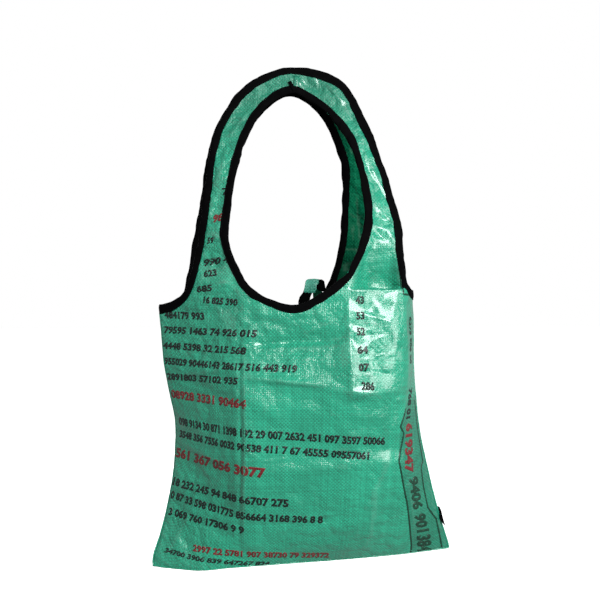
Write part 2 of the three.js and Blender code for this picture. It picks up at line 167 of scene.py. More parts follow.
def make_sky():
    """White where it is seen, and dimmer as a source of light."""
    sky = bpy.data.worlds.new("white_sky")
    sky.use_nodes = True
    nodes = sky.node_tree.nodes
    path = nodes.new("ShaderNodeLightPath")
    strength = nodes.new("ShaderNodeMapRange")
    strength.inputs["To Min"].default_value = SKY_LIGHT
    strength.inputs["To Max"].default_value = 1.0
    sky.node_tree.links.new(path.outputs["Is Camera Ray"], strength.inputs["Value"])
    sky.node_tree.links.new(strength.outputs["Result"], nodes["Background"].inputs["Strength"])
    nodes["Background"].inputs["Color"].default_value = (1, 1, 1, 1)
    bpy.context.scene.world = sky


make_floor()
make_sky()
for name, settings in LIGHTS.items():
    area_light(name, **settings)
bpy.context.scene.view_settings.view_transform = "Standard"
print("floor lies", FLOOR_DROP, "m below the bag")

# %% [markdown]
# ## Small tools for finishes
# A finish is a handful of nodes that feed one shader. Wiring them by hand takes many lines, so a
# short helper makes a node, sets its values and links what is handed to it. Sums and products of
# sockets then read almost like a formula.

# %% Node helpers
class Finish:
    """A material under construction."""

    def __init__(self, name, roughness, gloss, coat=0.0, coat_roughness=0.2):
        self.material = bpy.data.materials.new(name)
        self.material.use_nodes = True
        self.tree = self.material.node_tree
        self.shader = self.tree.nodes["Principled BSDF"]
        settings = {"Roughness": roughness, "Specular IOR Level": gloss}
        settings.update({"Coat Weight": coat, "Coat Roughness": coat_roughness})
        for socket, value in settings.items():
            self.shader.inputs[socket].default_value = value

    def put(self, value, socket):
        if isinstance(value, bpy.types.NodeSocket):
            self.tree.links.new(value, socket)
        else:
            socket.default_value = value

    def node(self, kind, inputs=None, **settings):
        made = self.tree.nodes.new("ShaderNode" + kind)
        for name, value in settings.items():
            setattr(made, name, value)
        for name, value in (inputs or {}).items():
            self.put(value, made.inputs[name])
        return made

    def math(self, operation, *values):
        made = self.tree.nodes.new("ShaderNodeMath")
        made.operation = operation
        for i, value in enumerate(values):
            self.put(value, made.inputs[i])
        return made.outputs[0]

    def plus(self, first, second):
        return self.math("ADD", first, second)

    def minus(self, first, second):
        return self.math("SUBTRACT", first, second)

    def times(self, first, second):
        return self.math("MULTIPLY", first, second)

    def ramp(self, value, low, high, to_low=0.0, to_high=1.0):
        inputs = {"Value": value, "From Min": low, "From Max": high}
        inputs.update({"To Min": to_low, "To Max": to_high})
        return self.node("MapRange", inputs, clamp=True).outputs[0]

    def mix(self, share, first, second):
        made = self.node("Mix", data_type="RGBA")
        self.put(share, made.inputs[0])
        self.put(first, made.inputs[6])
        self.put(second, made.inputs[7])
        return made.outputs[2]

    def noise(self, place, scale, detail=2.0):
        inputs = {"Vector": place, "Scale": scale, "Detail": detail}
        return self.node("TexNoise", inputs).outputs[0]

    def cloth_place(self):
        """Where a point lies on the flat cloth, in metres."""
        return self.node("UVMap", uv_map="cloth").outputs[0]

    def object_place(self):
        return self.node("TexCoord").outputs["Object"]

    def turned(self, place, **change):
        """A place with another turn or scale."""
        return self.node("Mapping", {"Vector": place, **change}).outputs[0]

    def attribute(self, name):
        return self.node("Attribute", attribute_name=name).outputs["Fac"]

    def bump(self, height, distance, strength=1.0, normal=None):
        inputs = {"Height": height, "Distance": distance, "Strength": strength}
        if normal is not None:
            inputs["Normal"] = normal
        return self.node("Bump", inputs).outputs[0]

    def finish(self, colour, normal, roughness=None):
        self.put(colour, self.shader.inputs["Base Color"])
        self.put(normal, self.shader.inputs["Normal"])
        if roughness is not None:
            self.put(roughness, self.shader.inputs["Roughness"])
        return self.material


def shade(colour, factor):
    return tuple(min(1.0, c * factor) for c in colour) + (1.0,)


print("node helpers are ready")

# %% [markdown]
# ## The woven, laminated cloth
# Flat tapes 2.3 mm wide pass over and under each other, so the cloth is a tiny chessboard: one
# square shows an upright tape, the next a level one, and the two catch the light differently.
# An image of cloth would do, but a formula stays sharp at any size. The place on the flat cloth is
# divided by the tape width; the whole part tells which tape is on top, the rest gives its round.
# The film adds crinkles, sharp where two flat facets meet and strongest where the bag was crushed.

# %% Weave and film
TAPE_WIDTH_MM = 2.3
TAPE_ROUND = 3.4
TONE_STRETCH = (390, 3)
CRINKLES = [(26, 0.4, 1.0), (62, 1.3, 0.42), (150, 2.2, 0.2)]
CRINKLE_DEPTH = 14.0 * MM
PLAIN_RELIEF = 0.24
WEAVE_DEPTH = 0.40 * MM
WEAVE_STRENGTH = 0.5


def weave(finish, place):
    """Height of the woven tapes, and 1 or 0 for the upright or the level tape on top."""
    split = finish.node("SeparateXYZ", {"Vector": place})
    across = finish.math("DIVIDE", split.outputs[0], TAPE_WIDTH_MM * MM)
    along = finish.math("DIVIDE", split.outputs[1], TAPE_WIDTH_MM * MM)
    cells = finish.plus(finish.math("FLOOR", across), finish.math("FLOOR", along))
    upright = finish.math("FLOORED_MODULO", cells, 2.0)
    rounds = []
    for direction in (across, along):
        centred = finish.minus(finish.math("FRACT", direction), 0.5)
        squared = finish.times(centred, centred)
        rounds.append(finish.minus(1.0, finish.times(squared, TAPE_ROUND)))
    return finish.times(*rounds), upright


def fold_lines(finish, place, scale, turn):
    """Crumpled film: a soft noise folded at its middle, so each zero line becomes a sharp crease."""
    turned = finish.turned(place, Rotation=(0, 0, turn))
    soft = finish.minus(finish.noise(turned, scale, 1.0), 0.5)
    return finish.math("ABSOLUTE", soft)


def film_relief(finish, place, crush):
    """The film's crinkles under the weave, as a normal: each row has a scale, a turn and a share."""
    layers = []
    for scale, turn, share in CRINKLES:
        layers.append(finish.times(fold_lines(finish, place, scale, turn), share))
    crinkle = finish.plus(layers[0], finish.plus(*layers[1:]))
    strength = finish.ramp(crush, 0, 1, PLAIN_RELIEF, 1.0)
    creased = finish.bump(crinkle, CRINKLE_DEPTH, strength)
    height, upright = weave(finish, place)
    return finish.bump(height, WEAVE_DEPTH, WEAVE_STRENGTH, creased), upright


def tape_tone(finish, place):
    """A slow change of tone from one tape to the next."""
    stretched = finish.turned(place, Scale=(*TONE_STRETCH, 1))
    level = finish.turned(place, Scale=(*TONE_STRETCH[::-1], 1))
    return finish.plus(finish.noise(stretched, 1.0, 0.0), finish.noise(level, 1.0, 0.0))


print("sack cloth has tapes", TAPE_WIDTH_MM, "mm wide")

# %% [markdown]
# ## Colours of the sack
# The outside is a clear sea green under glossy film. The inside has no film, so it is duller and a
# little darker; its green is made darker still as painted shade, most towards the bottom of the
# bag. Raised ridges turn a little pale, partly as rubbed film and partly as a painted sheen. Upright
# and level tapes differ in tone as a painted sheen, and tone changes from tape to tape and in broad
# stains, each by its own small factor, so nothing looks flat. The loop's fold has a paler green as
# painted light. The printed side band is a duller green. The crown is painted darker as shade, and
# hands have made its film rougher.

# %% Sack cloth finishes
SACK_GREEN = (0.013, 0.290, 0.172)
# Partly the duller inner face, and partly painted shade: the inside green is darker than the cloth.
SHADED_INSIDE_GREEN = (0.001, 0.120, 0.055)
FILM_ROUGHNESS = 0.14
NOISE_RANGE = (0.3, 0.7)
SQUARE_SPOTS = 32
SQUARE_RANGE, SQUARE_SHEEN_SWING = (0.35, 0.65), (0.22, 0.52)
SQUARE_LEVEL = 0.45
TAPE_RANGE, TAPE_SWING = (0.7, 1.3), (0.88, 1.12)
STAIN_SPOTS = 14
STAIN_SWING = (0.88, 1.08)
ROUGH_SPOTS = 45
ROUGH_SWING = (-0.07, 0.09)
BAND_TONE = 0.66
CROWN_ZONE = (-0.09, -0.01)
CROWN_SHADE_TONE = 0.68
GRIP_ROUGH = 0.6
INSIDE_SHADE_ZONE = (-0.30, -0.12)
PALE_RIDGE_RANGE = (0.3, 1.0)
PALE_RIDGE_SHARE = 0.16
PALE_SHARE, PALE_LIFT = 0.6, 0.14


def sack_finish(name, colour, roughness, coat, gloss, inside_shade=1.0):
    finish = Finish(name, roughness, gloss, coat, FILM_ROUGHNESS)
    place = finish.cloth_place()
    normal, upright = film_relief(finish, place, finish.attribute("crush"))
    # Painted sheen: upright and level tapes get different tones, standing in for the light each reflects.
    clear = finish.ramp(finish.noise(place, SQUARE_SPOTS, 2), *SQUARE_RANGE, *SQUARE_SHEEN_SWING)
    swing = finish.times(finish.minus(upright, SQUARE_LEVEL), clear)
    square_sheen = finish.plus(1.0, swing)
    tape = finish.ramp(tape_tone(finish, place), *TAPE_RANGE, *TAPE_SWING)
    stain = finish.ramp(finish.noise(place, STAIN_SPOTS, 4), *NOISE_RANGE, *STAIN_SWING)
    tone = finish.times(finish.times(square_sheen, tape), stain)
    band = finish.ramp(finish.attribute("band"), 0, 1, 1.0, BAND_TONE)
    height = finish.node("SeparateXYZ", {"Vector": finish.object_place()}).outputs[2]
    # Painted shade: the colour is darker towards the crown. The same ramp makes the handled film rougher.
    crown_shade_and_grip = finish.ramp(height, *CROWN_ZONE, 1.0, CROWN_SHADE_TONE)
    tone = finish.times(tone, finish.times(band, crown_shade_and_grip))
    # Painted shade: the inside colour darkens towards the bottom of the bag.
    if inside_shade < 1.0:
        tone = finish.times(tone, finish.ramp(height, *INSIDE_SHADE_ZONE, inside_shade, 1.0))
    toned = finish.node("VectorMath", {"Scale": tone}, operation="SCALE")
    finish.put(colour, toned.inputs[0])
    # Raised ridges are painted paler, partly as rubbed film and partly as a painted sheen.
    worn_and_sheen = finish.ramp(finish.attribute("ridge"), *PALE_RIDGE_RANGE, 0.0, PALE_RIDGE_SHARE)
    pale = tuple(PALE_SHARE * c + PALE_LIFT for c in colour) + (1.0,)
    painted = finish.mix(worn_and_sheen, toned.outputs[0], pale)
    limits = [roughness + change for change in ROUGH_SWING]
    rough = finish.ramp(finish.noise(place, ROUGH_SPOTS, 3), *NOISE_RANGE, *limits)
    handled = finish.times(finish.minus(1.0, crown_shade_and_grip), GRIP_ROUGH)
    return finish.finish(painted, normal, finish.plus(rough, handled))


SACK_OUTSIDE = sack_finish("sack_outside", SACK_GREEN, roughness=0.28, coat=0.5, gloss=0.5)
SACK_INSIDE = sack_finish("sack_inside", SHADED_INSIDE_GREEN, roughness=0.6, coat=0.0, gloss=0.05, inside_shade=0.3)
# Painted light: the loop's fold gets a paler green than the rest of the cloth.
LIT_FOLD_GREEN = (0.075, 0.46, 0.32)
SACK_FOLD_LIT = sack_finish("sack_fold_lit", LIT_FOLD_GREEN, roughness=0.4, coat=0.2, gloss=0.5)
print("outside and inside finishes are made")

# %% [markdown]
# ## Black bias tape and thread
# The binding is a soft woven tape cut on the bias, so its threads run at a slant, and it drinks
# nearly all light. A plain black would look like rubber. A slanted fine weave in the bump and a
# little dust make it cloth, and a low specular level takes the shine away.

# %% Tape finish
TAPE_BLACK = (0.0012, 0.0012, 0.0014)
TAPE_ROUGHNESS = 0.8
BIAS_TURN = 0.8
THREAD_WOBBLE = 0.6
THREAD_RELIEF = (0.15 * MM, 0.7)
DUST_SPOTS = 90
DUST_RANGE, DUST_SHARE = (0.45, 0.8), 0.5
DUST_TONE = 2.4
FUZZ_SPOTS = 160
FUZZ_RELIEF = (0.8 * MM, 0.5)


def tape_finish(name, colour, thread_scale, gloss):
    finish = Finish(name, TAPE_ROUGHNESS, gloss)
    place = finish.object_place()
    turned = finish.turned(place, Rotation=(0, BIAS_TURN, 0))
    waves = []
    for direction in ("X", "Z"):
        inputs = {"Vector": turned, "Scale": thread_scale, "Distortion": THREAD_WOBBLE, "Detail": 1.0}
        wave = finish.node("TexWave", inputs, bands_direction=direction)
        waves.append(wave.outputs["Fac"])
    threads = finish.math("MAXIMUM", *waves)
    dust = finish.ramp(finish.noise(place, DUST_SPOTS, 4), *DUST_RANGE, 0.0, DUST_SHARE)
    painted = finish.mix(dust, shade(colour, 1), shade(colour, DUST_TONE))
    fuzz = finish.bump(finish.noise(place, FUZZ_SPOTS, 3), *FUZZ_RELIEF)
    return finish.finish(painted, finish.bump(threads, *THREAD_RELIEF, fuzz))


BLACK_TAPE = tape_finish("black_bias_tape", TAPE_BLACK, thread_scale=420, gloss=0.03)
BLACK_THREAD = tape_finish("black_thread", shade(TAPE_BLACK, 3.0)[:3], thread_scale=900, gloss=0.12)
print("tape and thread are made")

# %% [markdown]
# ## The skin of a panel
# The frame holds each panel as a solid 1.2 mm thick. Finer cloth has to follow that solid exactly,
# so its outer skin is taken from it: start at the largest face that looks outwards and walk to
# every neighbour that doesn't turn a sharp corner. Pairs of triangles become squares again, and a
# subdivision surface rounds them. Copying sizes by hand would drift from the frame.

# %% Take the outer skin
SHARP_TURN = 0.6
STRAP_FOOT = -0.2575
STEEP = 2.2
DEPTH_SHARE = 0.3
LONG_EDGE = 5 * MM
SQUARE_LIMITS = {"angle_face_threshold": 0.9, "angle_shape_threshold": 1.4}
PANELS = {"front": -1, "back": 1}


def outer_skin(node, side):
    bm = bmesh.new()
    bm.from_mesh(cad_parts[node].data)
    bmesh.ops.remove_doubles(bm, verts=bm.verts, dist=0.01 * MM)
    start = max(bm.faces, key=lambda f: f.normal.y * side * f.calc_area())
    reached = {start}
    waiting = [start]
    while waiting:
        face = waiting.pop()
        for edge in face.edges:
            for other in edge.link_faces:
                if other not in reached and other.normal.dot(face.normal) > SHARP_TURN:
                    reached.add(other)
                    waiting.append(other)
    rest = [f for f in bm.faces if f not in reached]
    bmesh.ops.delete(bm, geom=rest, context="FACES")
    bmesh.ops.join_triangles(bm, faces=bm.faces[:], **SQUARE_LIMITS)
    return bm


def mesh_from(bm, name):
    mesh = bpy.data.meshes.new(name)
    bm.to_mesh(mesh)
    bm.free()
    return mesh


def shown_mesh(carrier):
    """The mesh that an object shows, after which the object goes."""
    graph = bpy.context.evaluated_depsgraph_get()
    made = bpy.data.meshes.new_from_object(carrier.evaluated_get(graph))
    bpy.data.objects.remove(carrier)
    return made


def with_modifier(mesh, kind, **settings):
    """A copy of a mesh with one modifier applied."""
    carrier = add_object("carrier", mesh)
    modifier = carrier.modifiers.new("step", kind)
    for name, value in settings.items():
        setattr(modifier, name, value)
    return shown_mesh(carrier)


def rounded_skin(node, side):
    skin = mesh_from(outer_skin(node, side), node + "_skin")
    settings = {"levels": 1, "render_levels": 1, "boundary_smooth": "PRESERVE_CORNERS"}
    first = with_modifier(skin, "SUBSURF", **settings)
    bm = bmesh.new()
    bm.from_mesh(first)
    upright = []
    for edge in bm.edges:
        low, high = sorted(edge.verts, key=lambda v: v.co.z)
        run = high.co - low.co
        steep = run.z > STEEP * math.hypot(run.x, run.y * DEPTH_SHARE)
        if low.co.z < STRAP_FOOT and steep and run.z > LONG_EDGE:
            upright.append(edge)
    bmesh.ops.subdivide_edges(bm, edges=upright, cuts=1, use_grid_fill=True)
    return with_modifier(mesh_from(bm, node + "_fine"), "SUBSURF", **settings)


skins = {name: rounded_skin(name + "_panel", side) for name, side in PANELS.items()}
for name, mesh in skins.items():
    print(name, "skin:", len(mesh.polygons), "faces and", len(mesh.vertices), "points")

# %% [markdown]
# ## How far along the cloth
# Weave and print belong to the flat cloth, not to the hung one. Seen from the front, a steep fold
# would squeeze them, and from the side it would stretch them. Walking over the folds and adding up
# the steps gives each point its place on the flat sheet. A small grid of depths is enough, and a
# ray shot through the bag reads each depth.

# %% Flat places
GRID_STEP = 4 * MM
MIDDLE_X = 12 * MM


def tree_of(mesh):
    points = [v.co for v in mesh.vertices]
    return BVHTree.FromPolygons(points, [face.vertices[:] for face in mesh.polygons])


class FlatCloth:
    """Distances along a panel's cloth, from its middle line and from the hanging place."""

    def __init__(self, mesh):
        low, high = CAD_BOX
        self.xs = np.arange(low.x - GRID_STEP, high.x + 2 * GRID_STEP, GRID_STEP)
        self.zs = np.arange(low.z - GRID_STEP, high.z + 2 * GRID_STEP, GRID_STEP)
        tree = tree_of(mesh)
        depths = [self.row(tree, z) for z in self.zs]
        filled = [row for row in depths if row is not None]
        first = next(i for i, row in enumerate(depths) if row is not None)
        last = first + len(filled)
        depths = [filled[0]] * first + filled + [filled[-1]] * (len(self.zs) - last)
        depths = np.array(depths)
        self.across = self.walk(depths, 1)
        middle = [np.interp(MIDDLE_X, self.xs, row) for row in self.across]
        self.across -= np.array(middle)[:, None]
        self.up = self.walk(depths, 0)
        level = int(np.argmin(np.abs(self.zs)))
        self.up -= self.up[level][None, :]

    def row(self, tree, z):
        hits = [tree.ray_cast(Vector((x, -1, z)), Vector((0, 1, 0)))[0] for x in self.xs]
        known = [(x, hit.y) for x, hit in zip(self.xs, hits) if hit]
        if not known:
            return None
        return np.interp(self.xs, *zip(*known))

    def walk(self, depths, axis):
        steps = np.hypot(GRID_STEP, np.diff(depths, axis=axis))
        total = np.cumsum(steps, axis=axis)
        edge = [(0, 0), (0, 0)]
        edge[axis] = (1, 0)
        return np.pad(total, edge)

    def read(self, grid, x, z):
        i = np.clip((x - self.xs[0]) / GRID_STEP, 0, len(self.xs) - 1.001)
        j = np.clip((z - self.zs[0]) / GRID_STEP, 0, len(self.zs) - 1.001)
        i0, j0 = i.astype(int), j.astype(int)
        fi, fj = i - i0, j - j0
        low = grid[j0, i0] * (1 - fi) + grid[j0, i0 + 1] * fi
        high = grid[j0 + 1, i0] * (1 - fi) + grid[j0 + 1, i0 + 1] * fi
        return low * (1 - fj) + high * fj

    def places(self, x, z):
        return np.stack([self.read(self.across, x, z), self.read(self.up, x, z)], axis=1)

    def x_at(self, across, z):
        """Where a print that lies at this distance across shows on the hung bag."""
        level = float(np.clip((z - self.zs[0]) / GRID_STEP, 0, len(self.zs) - 1.001))
        low = int(level)
        found = [np.interp(across, self.across[row], self.xs) for row in (low, low + 1)]
        return float(found[0] + (found[1] - found[0]) * (level - low))


flats = {name: FlatCloth(mesh) for name, mesh in skins.items()}
for name, flat in flats.items():
    row = flat.across[int(np.argmin(np.abs(flat.zs + 0.4)))]
    print(name, "cloth is", round((row[-1] - row[0]) / MM), "mm wide along its folds at mid height")

# %% [markdown]
# ## Where the cloth was pressed
# The sack was folded for storage, filled, carried and emptied, and stiff film remembers all of
# it. Three kinds of mark show: long storage folds and crisp creases, placed one by one; soft
# hollows, the same with a rounder profile; and crushed zones, where the film breaks into small
# flat facets. A sag is lopsided: the cloth leans out more and more on the way down and drops back
# within a few millimetres. Simulated cloth would hang too softly for this stiff sheet, so the
# marks are given in tables: depth is pressed in, a minus stands proud, sizes are in millimetres.

# %% Tables of creases
CREASE = ("x", "z", "half_length", "half_width", "slope", "depth", "crisp")
FRONT_CREASES = [
    (-73, -330, 45, 3.5, 91, 1.2, 0.7),
    (-72, -480, 110, 4.0, 90, 2.6, 0.8),
    (-66, -470, 105, 3.0, 90, -1.3, 0.6),
    (66, -345, 56, 3.5, 91, -1.4, 0.8),
    (66, -338, 60, 27.0, 91, -4.2, 1.0),
    (112, -263, 27, 4.0, 2, -1.8, 0.7),
    (112, -252, 17, 9.0, 0, 3.0, 0.2),
    (141, -335, 75, 5.0, 92, -1.2, 0.4),
    (72, -396, 74, 7.0, -9, -2.0, 0.6),
    (20, -404, 60, 12.0, -4, 2.2, 0.1),
    (0, -334, 46, 7.0, 4, 1.8, 0.3),
    (14, -347, 24, 4.5, -3, 2.4, 0.4),
    (57, -331, 10, 3.0, 2, -1.4, 0.7),
    (-5, -384, 52, 6.0, -7, -1.8, 0.6),
    (-30, -308, 15, 3.0, 0, 1.8, 0.5),
    (5, -303, 18, 5.0, 3, 2.0, 0.4),
    (30, -312, 20, 4.0, 24, -1.2, 0.6),
    (-58, -474, 9, 3.0, -35, -2.0, 0.8),
    (-56, -482, 9, 3.0, 12, -1.4, 0.8),
    (-25, -482, 32, 4.5, 4, -1.8, 0.6),
    (30, -477, 38, 7.0, 12, -2.0, 0.4),
    (5, -462, 52, 7.0, 4, 1.8, 0.2),
    (90, -425, 28, 7.0, -6, -1.2, 0.4),
    (110, -510, 50, 8.0, 66, -1.8, 0.5),
    (104, -560, 36, 8.0, 88, -1.6, 0.3),
    (62, -545, 42, 10.0, 84, 1.6, 0.1),
    (-147, -486, 10, 4.0, 80, -1.4, 0.6),
    (-115, -505, 18, 5.0, -60, -1.8, 0.6),
    (-128, -448, 26, 7.0, -14, -1.6, 0.4),
    (-104, -398, 30, 7.0, -20, 1.8, 0.2),
    (-120, -345, 26, 6.0, 12, -1.4, 0.5),
    (-98, -322, 22, 5.0, -40, 1.4, 0.4),
    (-150, -590, 30, 8.0, 62, -2.4, 0.5),
    (-108, -580, 34, 9.0, -24, 1.8, 0.2),
    (-20, -540, 46, 10.0, 6, -1.6, 0.2),
    (30, -590, 60, 9.0, -4, 1.6, 0.2),
    (160, -560, 34, 6.0, 104, -1.6, 0.4),
    (96, -300, 22, 3.5, -16, -1.2, 0.7),
    (104, -322, 26, 3.5, 8, 1.2, 0.6),
    (98, -352, 24, 3.5, 14, -1.3, 0.7),
    (108, -372, 24, 3.5, -8, 1.2, 0.6),
    (-96, -196, 16, 3.0, -12, -1.4, 0.8),
    (-99, -168, 16, 3.0, 20, 1.4, 0.7),
    (-100, -222, 20, 4.0, 30, -1.4, 0.6),
    (-92, -98, 22, 4.0, 78, -1.4, 0.6),
    (-70, -40, 24, 4.0, 52, -1.6, 0.6),
    (-28, 6, 18, 4.0, 24, 1.4, 0.6),
    (34, 20, 10, 3.0, -70, -1.6, 0.8),
    (58, 4, 14, 4.0, -50, -1.8, 0.7),
    (76, -22, 18, 4.0, -72, 1.6, 0.6),
    (92, -62, 20, 4.0, -48, -1.8, 0.7),
    (100, -96, 26, 4.0, -66, -1.6, 0.7),
    (112, -128, 26, 4.0, -58, 1.6, 0.6),
    (120, -168, 26, 4.0, -44, -1.8, 0.7),
    (106, -192, 24, 4.0, -30, 1.4, 0.5),
]
BACK_CREASES = [
    (-76, -440, 150, 4.0, 90, 2.4, 0.8),
    (62, -430, 150, 4.0, 90, 2.0, 0.7),
    (-5, -395, 74, 6.0, 3, -2.0, 0.6),
    (10, -470, 64, 9.0, -12, 2.4, 0.2),
    (-20, -330, 48, 8.0, 8, 1.8, 0.3),
    (24, -540, 60, 7.0, 10, -1.8, 0.5),
    (-112, -360, 40, 7.0, 72, -2.0, 0.5),
    (-118, -480, 40, 8.0, -68, 1.8, 0.3),
    (-110, -560, 40, 6.0, -24, -1.8, 0.6),
    (104, -330, 40, 7.0, 98, -1.8, 0.5),
    (108, -420, 34, 6.0, 18, 1.8, 0.4),
    (112, -520, 44, 7.0, 60, -1.8, 0.5),
    (-30, -590, 60, 8.0, -3, 1.6, 0.2),
    (-108, -180, 26, 4.0, 72, -1.6, 0.6),
    (-98, -90, 26, 4.0, 100, 1.6, 0.6),
    (-52, -16, 24, 4.0, 48, -1.6, 0.6),
    (46, -6, 22, 4.0, -46, -1.6, 0.6),
    (90, -80, 26, 4.0, -74, 1.6, 0.6),
    (104, -160, 30, 4.0, -84, -1.8, 0.6),
]
SAG = ("x", "top", "bottom", "slope", "half_width", "depth", "drop")
FRONT_SAGS = [
    (114, -196, -261, 0.02, 36, 19.0, 4),
    (35, -330, -399, 0.05, 92, -5.0, 50),
    (104, -272, -394, 0.10, 40, -5.0, 13),
    (4, -296, -330, 0.05, 56, 5.0, 11),
    (-8, -346, -381, -0.07, 56, -3.6, 8),
    (18, -400, -478, 0.05, 66, 7.0, 18),
    (112, -410, -470, -0.15, 40, 5.0, 20),
    (-122, -420, -478, -0.35, 34, -2.6, 9),
    (-118, -330, -372, 0.20, 34, -2.2, 8),
    (20, -500, -556, 0.03, 70, -2.4, 12),
]
BACK_SAGS = [
    (0, -310, -372, 0.05, 74, -2.8, 10),
    (10, -400, -468, -0.06, 74, -3.0, 10),
    (-100, -300, -380, 0.2, 36, -2.6, 9),
    (104, -330, -402, -0.2, 36, -2.6, 9),
]
CRUSH = ("x", "z", "half_width", "half_height", "amount")
FRONT_CRUSH = [
    (100, -335, 48, 74, 1.0),
    (116, -232, 36, 34, 0.25),
    (-100, -300, 60, 44, 0.7),
    (-135, -560, 52, 66, 0.6),
    (-110, -430, 44, 70, 0.45),
    (-60, -338, 130, 48, 0.65),
    (10, -300, 60, 26, 0.5),
    (0, -450, 90, 60, 0.1),
    (110, -560, 60, 60, 0.3),
]
BACK_CRUSH = [
    (-100, -300, 60, 60, 0.8),
    (100, -320, 50, 70, 0.7),
    (20, -520, 110, 60, 0.5),
    (-120, -540, 50, 60, 0.7),
]
STRAP_LEVEL = -235
STRAP_CRUSH = 0.95
PLAIN_CRUSH = 0.25
BAND_LINE = [(-632, 169), (-585, 160), (-515, 142), (-488, 136), (-443, 137), (-415, 145), (-390, 190)]
PANEL_MARKS = {
    "front": (FRONT_CREASES, FRONT_SAGS, FRONT_CRUSH, 11),
    "back": (BACK_CREASES, BACK_SAGS, BACK_CRUSH, 23),
}
print(len(FRONT_CREASES), "creases in front and", len(BACK_CREASES), "behind")

# %% [markdown]
# ## Facets, creases and sags
# Crumpled film is made of flat facets that meet at sharp ridges. Random heights on a loose net of
# triangles give just that. The net is coarse for the broad dents and fine for the crushed spots.
# A crease is a narrow trough with a round or a sharp floor, and a sag is a slope with a short way
# back. Each function gives a depth in millimetres for every point of the cloth.

# %% Depth of the marks
LARGE_NET = (36.0, 48.0, 4.0)
SMALL_NET = (13.0, 17.0, 1.6)
NET_SHIFT = 0.46


def smooth(share):
    share = np.clip(share, 0, 1)
    return share * share * (3 - 2 * share)


def crease_depth(rows, x, z):
    total = np.zeros_like(x)
    for row in rows:
        c = dict(zip(CREASE, row))
        turn = math.radians(c["slope"])
        dx, dz = x - c["x"], z - c["z"]
        along = (dx * math.cos(turn) + dz * math.sin(turn)) / c["half_length"]
        across = (dz * math.cos(turn) - dx * math.sin(turn)) / c["half_width"]
        profile = (1 - c["crisp"]) * np.exp(-across**2) + c["crisp"] * np.exp(-1.6 * np.abs(across))
        total += c["depth"] * np.exp(-np.abs(along) ** 3) * profile
    return total


def sag_depth(rows, x, z):
    total = np.zeros_like(x)
    for row in rows:
        s = dict(zip(SAG, row))
        bottom = s["bottom"] + s["slope"] * (x - s["x"])
        lean = np.clip((s["top"] - z) / (s["top"] - bottom), 0, 1) ** 1.3
        drop = 1 - smooth((bottom - z) / s["drop"])
        total += s["depth"] * lean * drop * np.exp(-(((x - s["x"]) / s["half_width"]) ** 4))
    return total


def crush_amount(rows, x, z):
    amount = np.where(z > STRAP_LEVEL, STRAP_CRUSH, PLAIN_CRUSH)
    for row in rows:
        c = dict(zip(CRUSH, row))
        reach = ((x - c["x"]) / c["half_width"]) ** 2 + ((z - c["z"]) / c["half_height"]) ** 2
        share = np.exp(-reach)
        amount = amount * (1 - share) + c["amount"] * share
    return amount


def facets(x, z, seed, net):
    """Heights of a crumpled sheet: flat triangles between points at random heights."""
    step_x, step_z, height = net
    rng = np.random.default_rng(seed)
    low, high = CAD_BOX
    columns = np.arange(low.x / MM - step_x, high.x / MM + 2 * step_x, step_x)
    rows = np.arange(low.z / MM - step_z, high.z / MM + 2 * step_z, step_z)
    spots = np.array([(a, b) for b in rows for a in columns])
    spots += rng.uniform(-NET_SHIFT, NET_SHIFT, spots.shape) * (step_x, step_z)
    heights = rng.uniform(-height, height, len(spots))
    made = geometry.delaunay_2d_cdt([Vector(s) for s in spots], [], [], 0, 1e-6)
    points, _, triangles, origins, *_ = made
    corners = [(p.x, p.y, heights[origin[0]]) for p, origin in zip(points, origins)]
    tree = BVHTree.FromPolygons(corners, triangles)
    down = Vector((0, 0, -1))
    return np.array([tree.ray_cast(Vector((a, b, 99)), down)[0].z for a, b in zip(x, z)])


print("the deepest crease goes", max(abs(row[5]) for row in FRONT_CREASES), "mm deep")

# %% [markdown]
# ## The edges of a panel
# A sewer works from the edges: the mouth and the outer edge get tape, the rest is seamed. The
# border of the skin is walked point by point, then cut at the two shoulders, where the tape ends
# and the seam starts. How far a point lies from an edge tells later how freely it can fold.

# %% Find the borders
SHOULDERS = {"left": (-0.177, -0.286), "right": (0.162, -0.267)}


def read_points(mesh, attribute="co"):
    values = np.zeros(len(mesh.vertices) * 3)
    source = mesh.vertices if attribute == "co" else mesh.vertex_normals
    source.foreach_get("co" if attribute == "co" else "vector", values)
    return values.reshape(-1, 3)


def edge_pairs(mesh):
    pairs = np.zeros(len(mesh.edges) * 2, int)
    mesh.edges.foreach_get("vertices", pairs)
    return pairs.reshape(-1, 2)


def neighbour_mean(pairs, values):
    total = np.zeros_like(values)
    count = np.zeros(len(values))
    for a, b in ((0, 1), (1, 0)):
        np.add.at(total, pairs[:, a], values[pairs[:, b]])
        np.add.at(count, pairs[:, a], 1)
    return total / (count if values.ndim == 1 else count[:, None])


def border_chains(mesh):
    """The border of an open sheet as closed chains of point numbers."""
    bm = bmesh.new()
    bm.from_mesh(mesh)
    bm.verts.ensure_lookup_table()
    onward = {}
    for edge in bm.edges:
        if edge.is_boundary:
            loop = edge.link_loops[0]
            onward[loop.vert.index] = loop.link_loop_next.vert.index
    bm.free()
    chains = []
    while onward:
        first, here = onward.popitem()
        chain = [first]
        while here != first:
            chain.append(here)
            here = onward.pop(here)
        chains.append(chain)
    return sorted(chains, key=len)


def split_border(mesh):
    """The border's three runs: the mouth, the taped outer edge and the sewn edge."""
    mouth, outline = border_chains(mesh)
    points = read_points(mesh)
    corners = []
    for x, z in SHOULDERS.values():
        gaps = [math.hypot(points[i][0] - x, points[i][2] - z) for i in outline]
        corners.append(int(np.argmin(gaps)))
    a, b = sorted(corners)
    runs = [outline[a : b + 1], outline[b:] + outline[: a + 1]]
    runs.sort(key=lambda run: max(points[i][2] for i in run))
    return {"mouth": mouth, "sewn": runs[0], "outer": runs[1]}


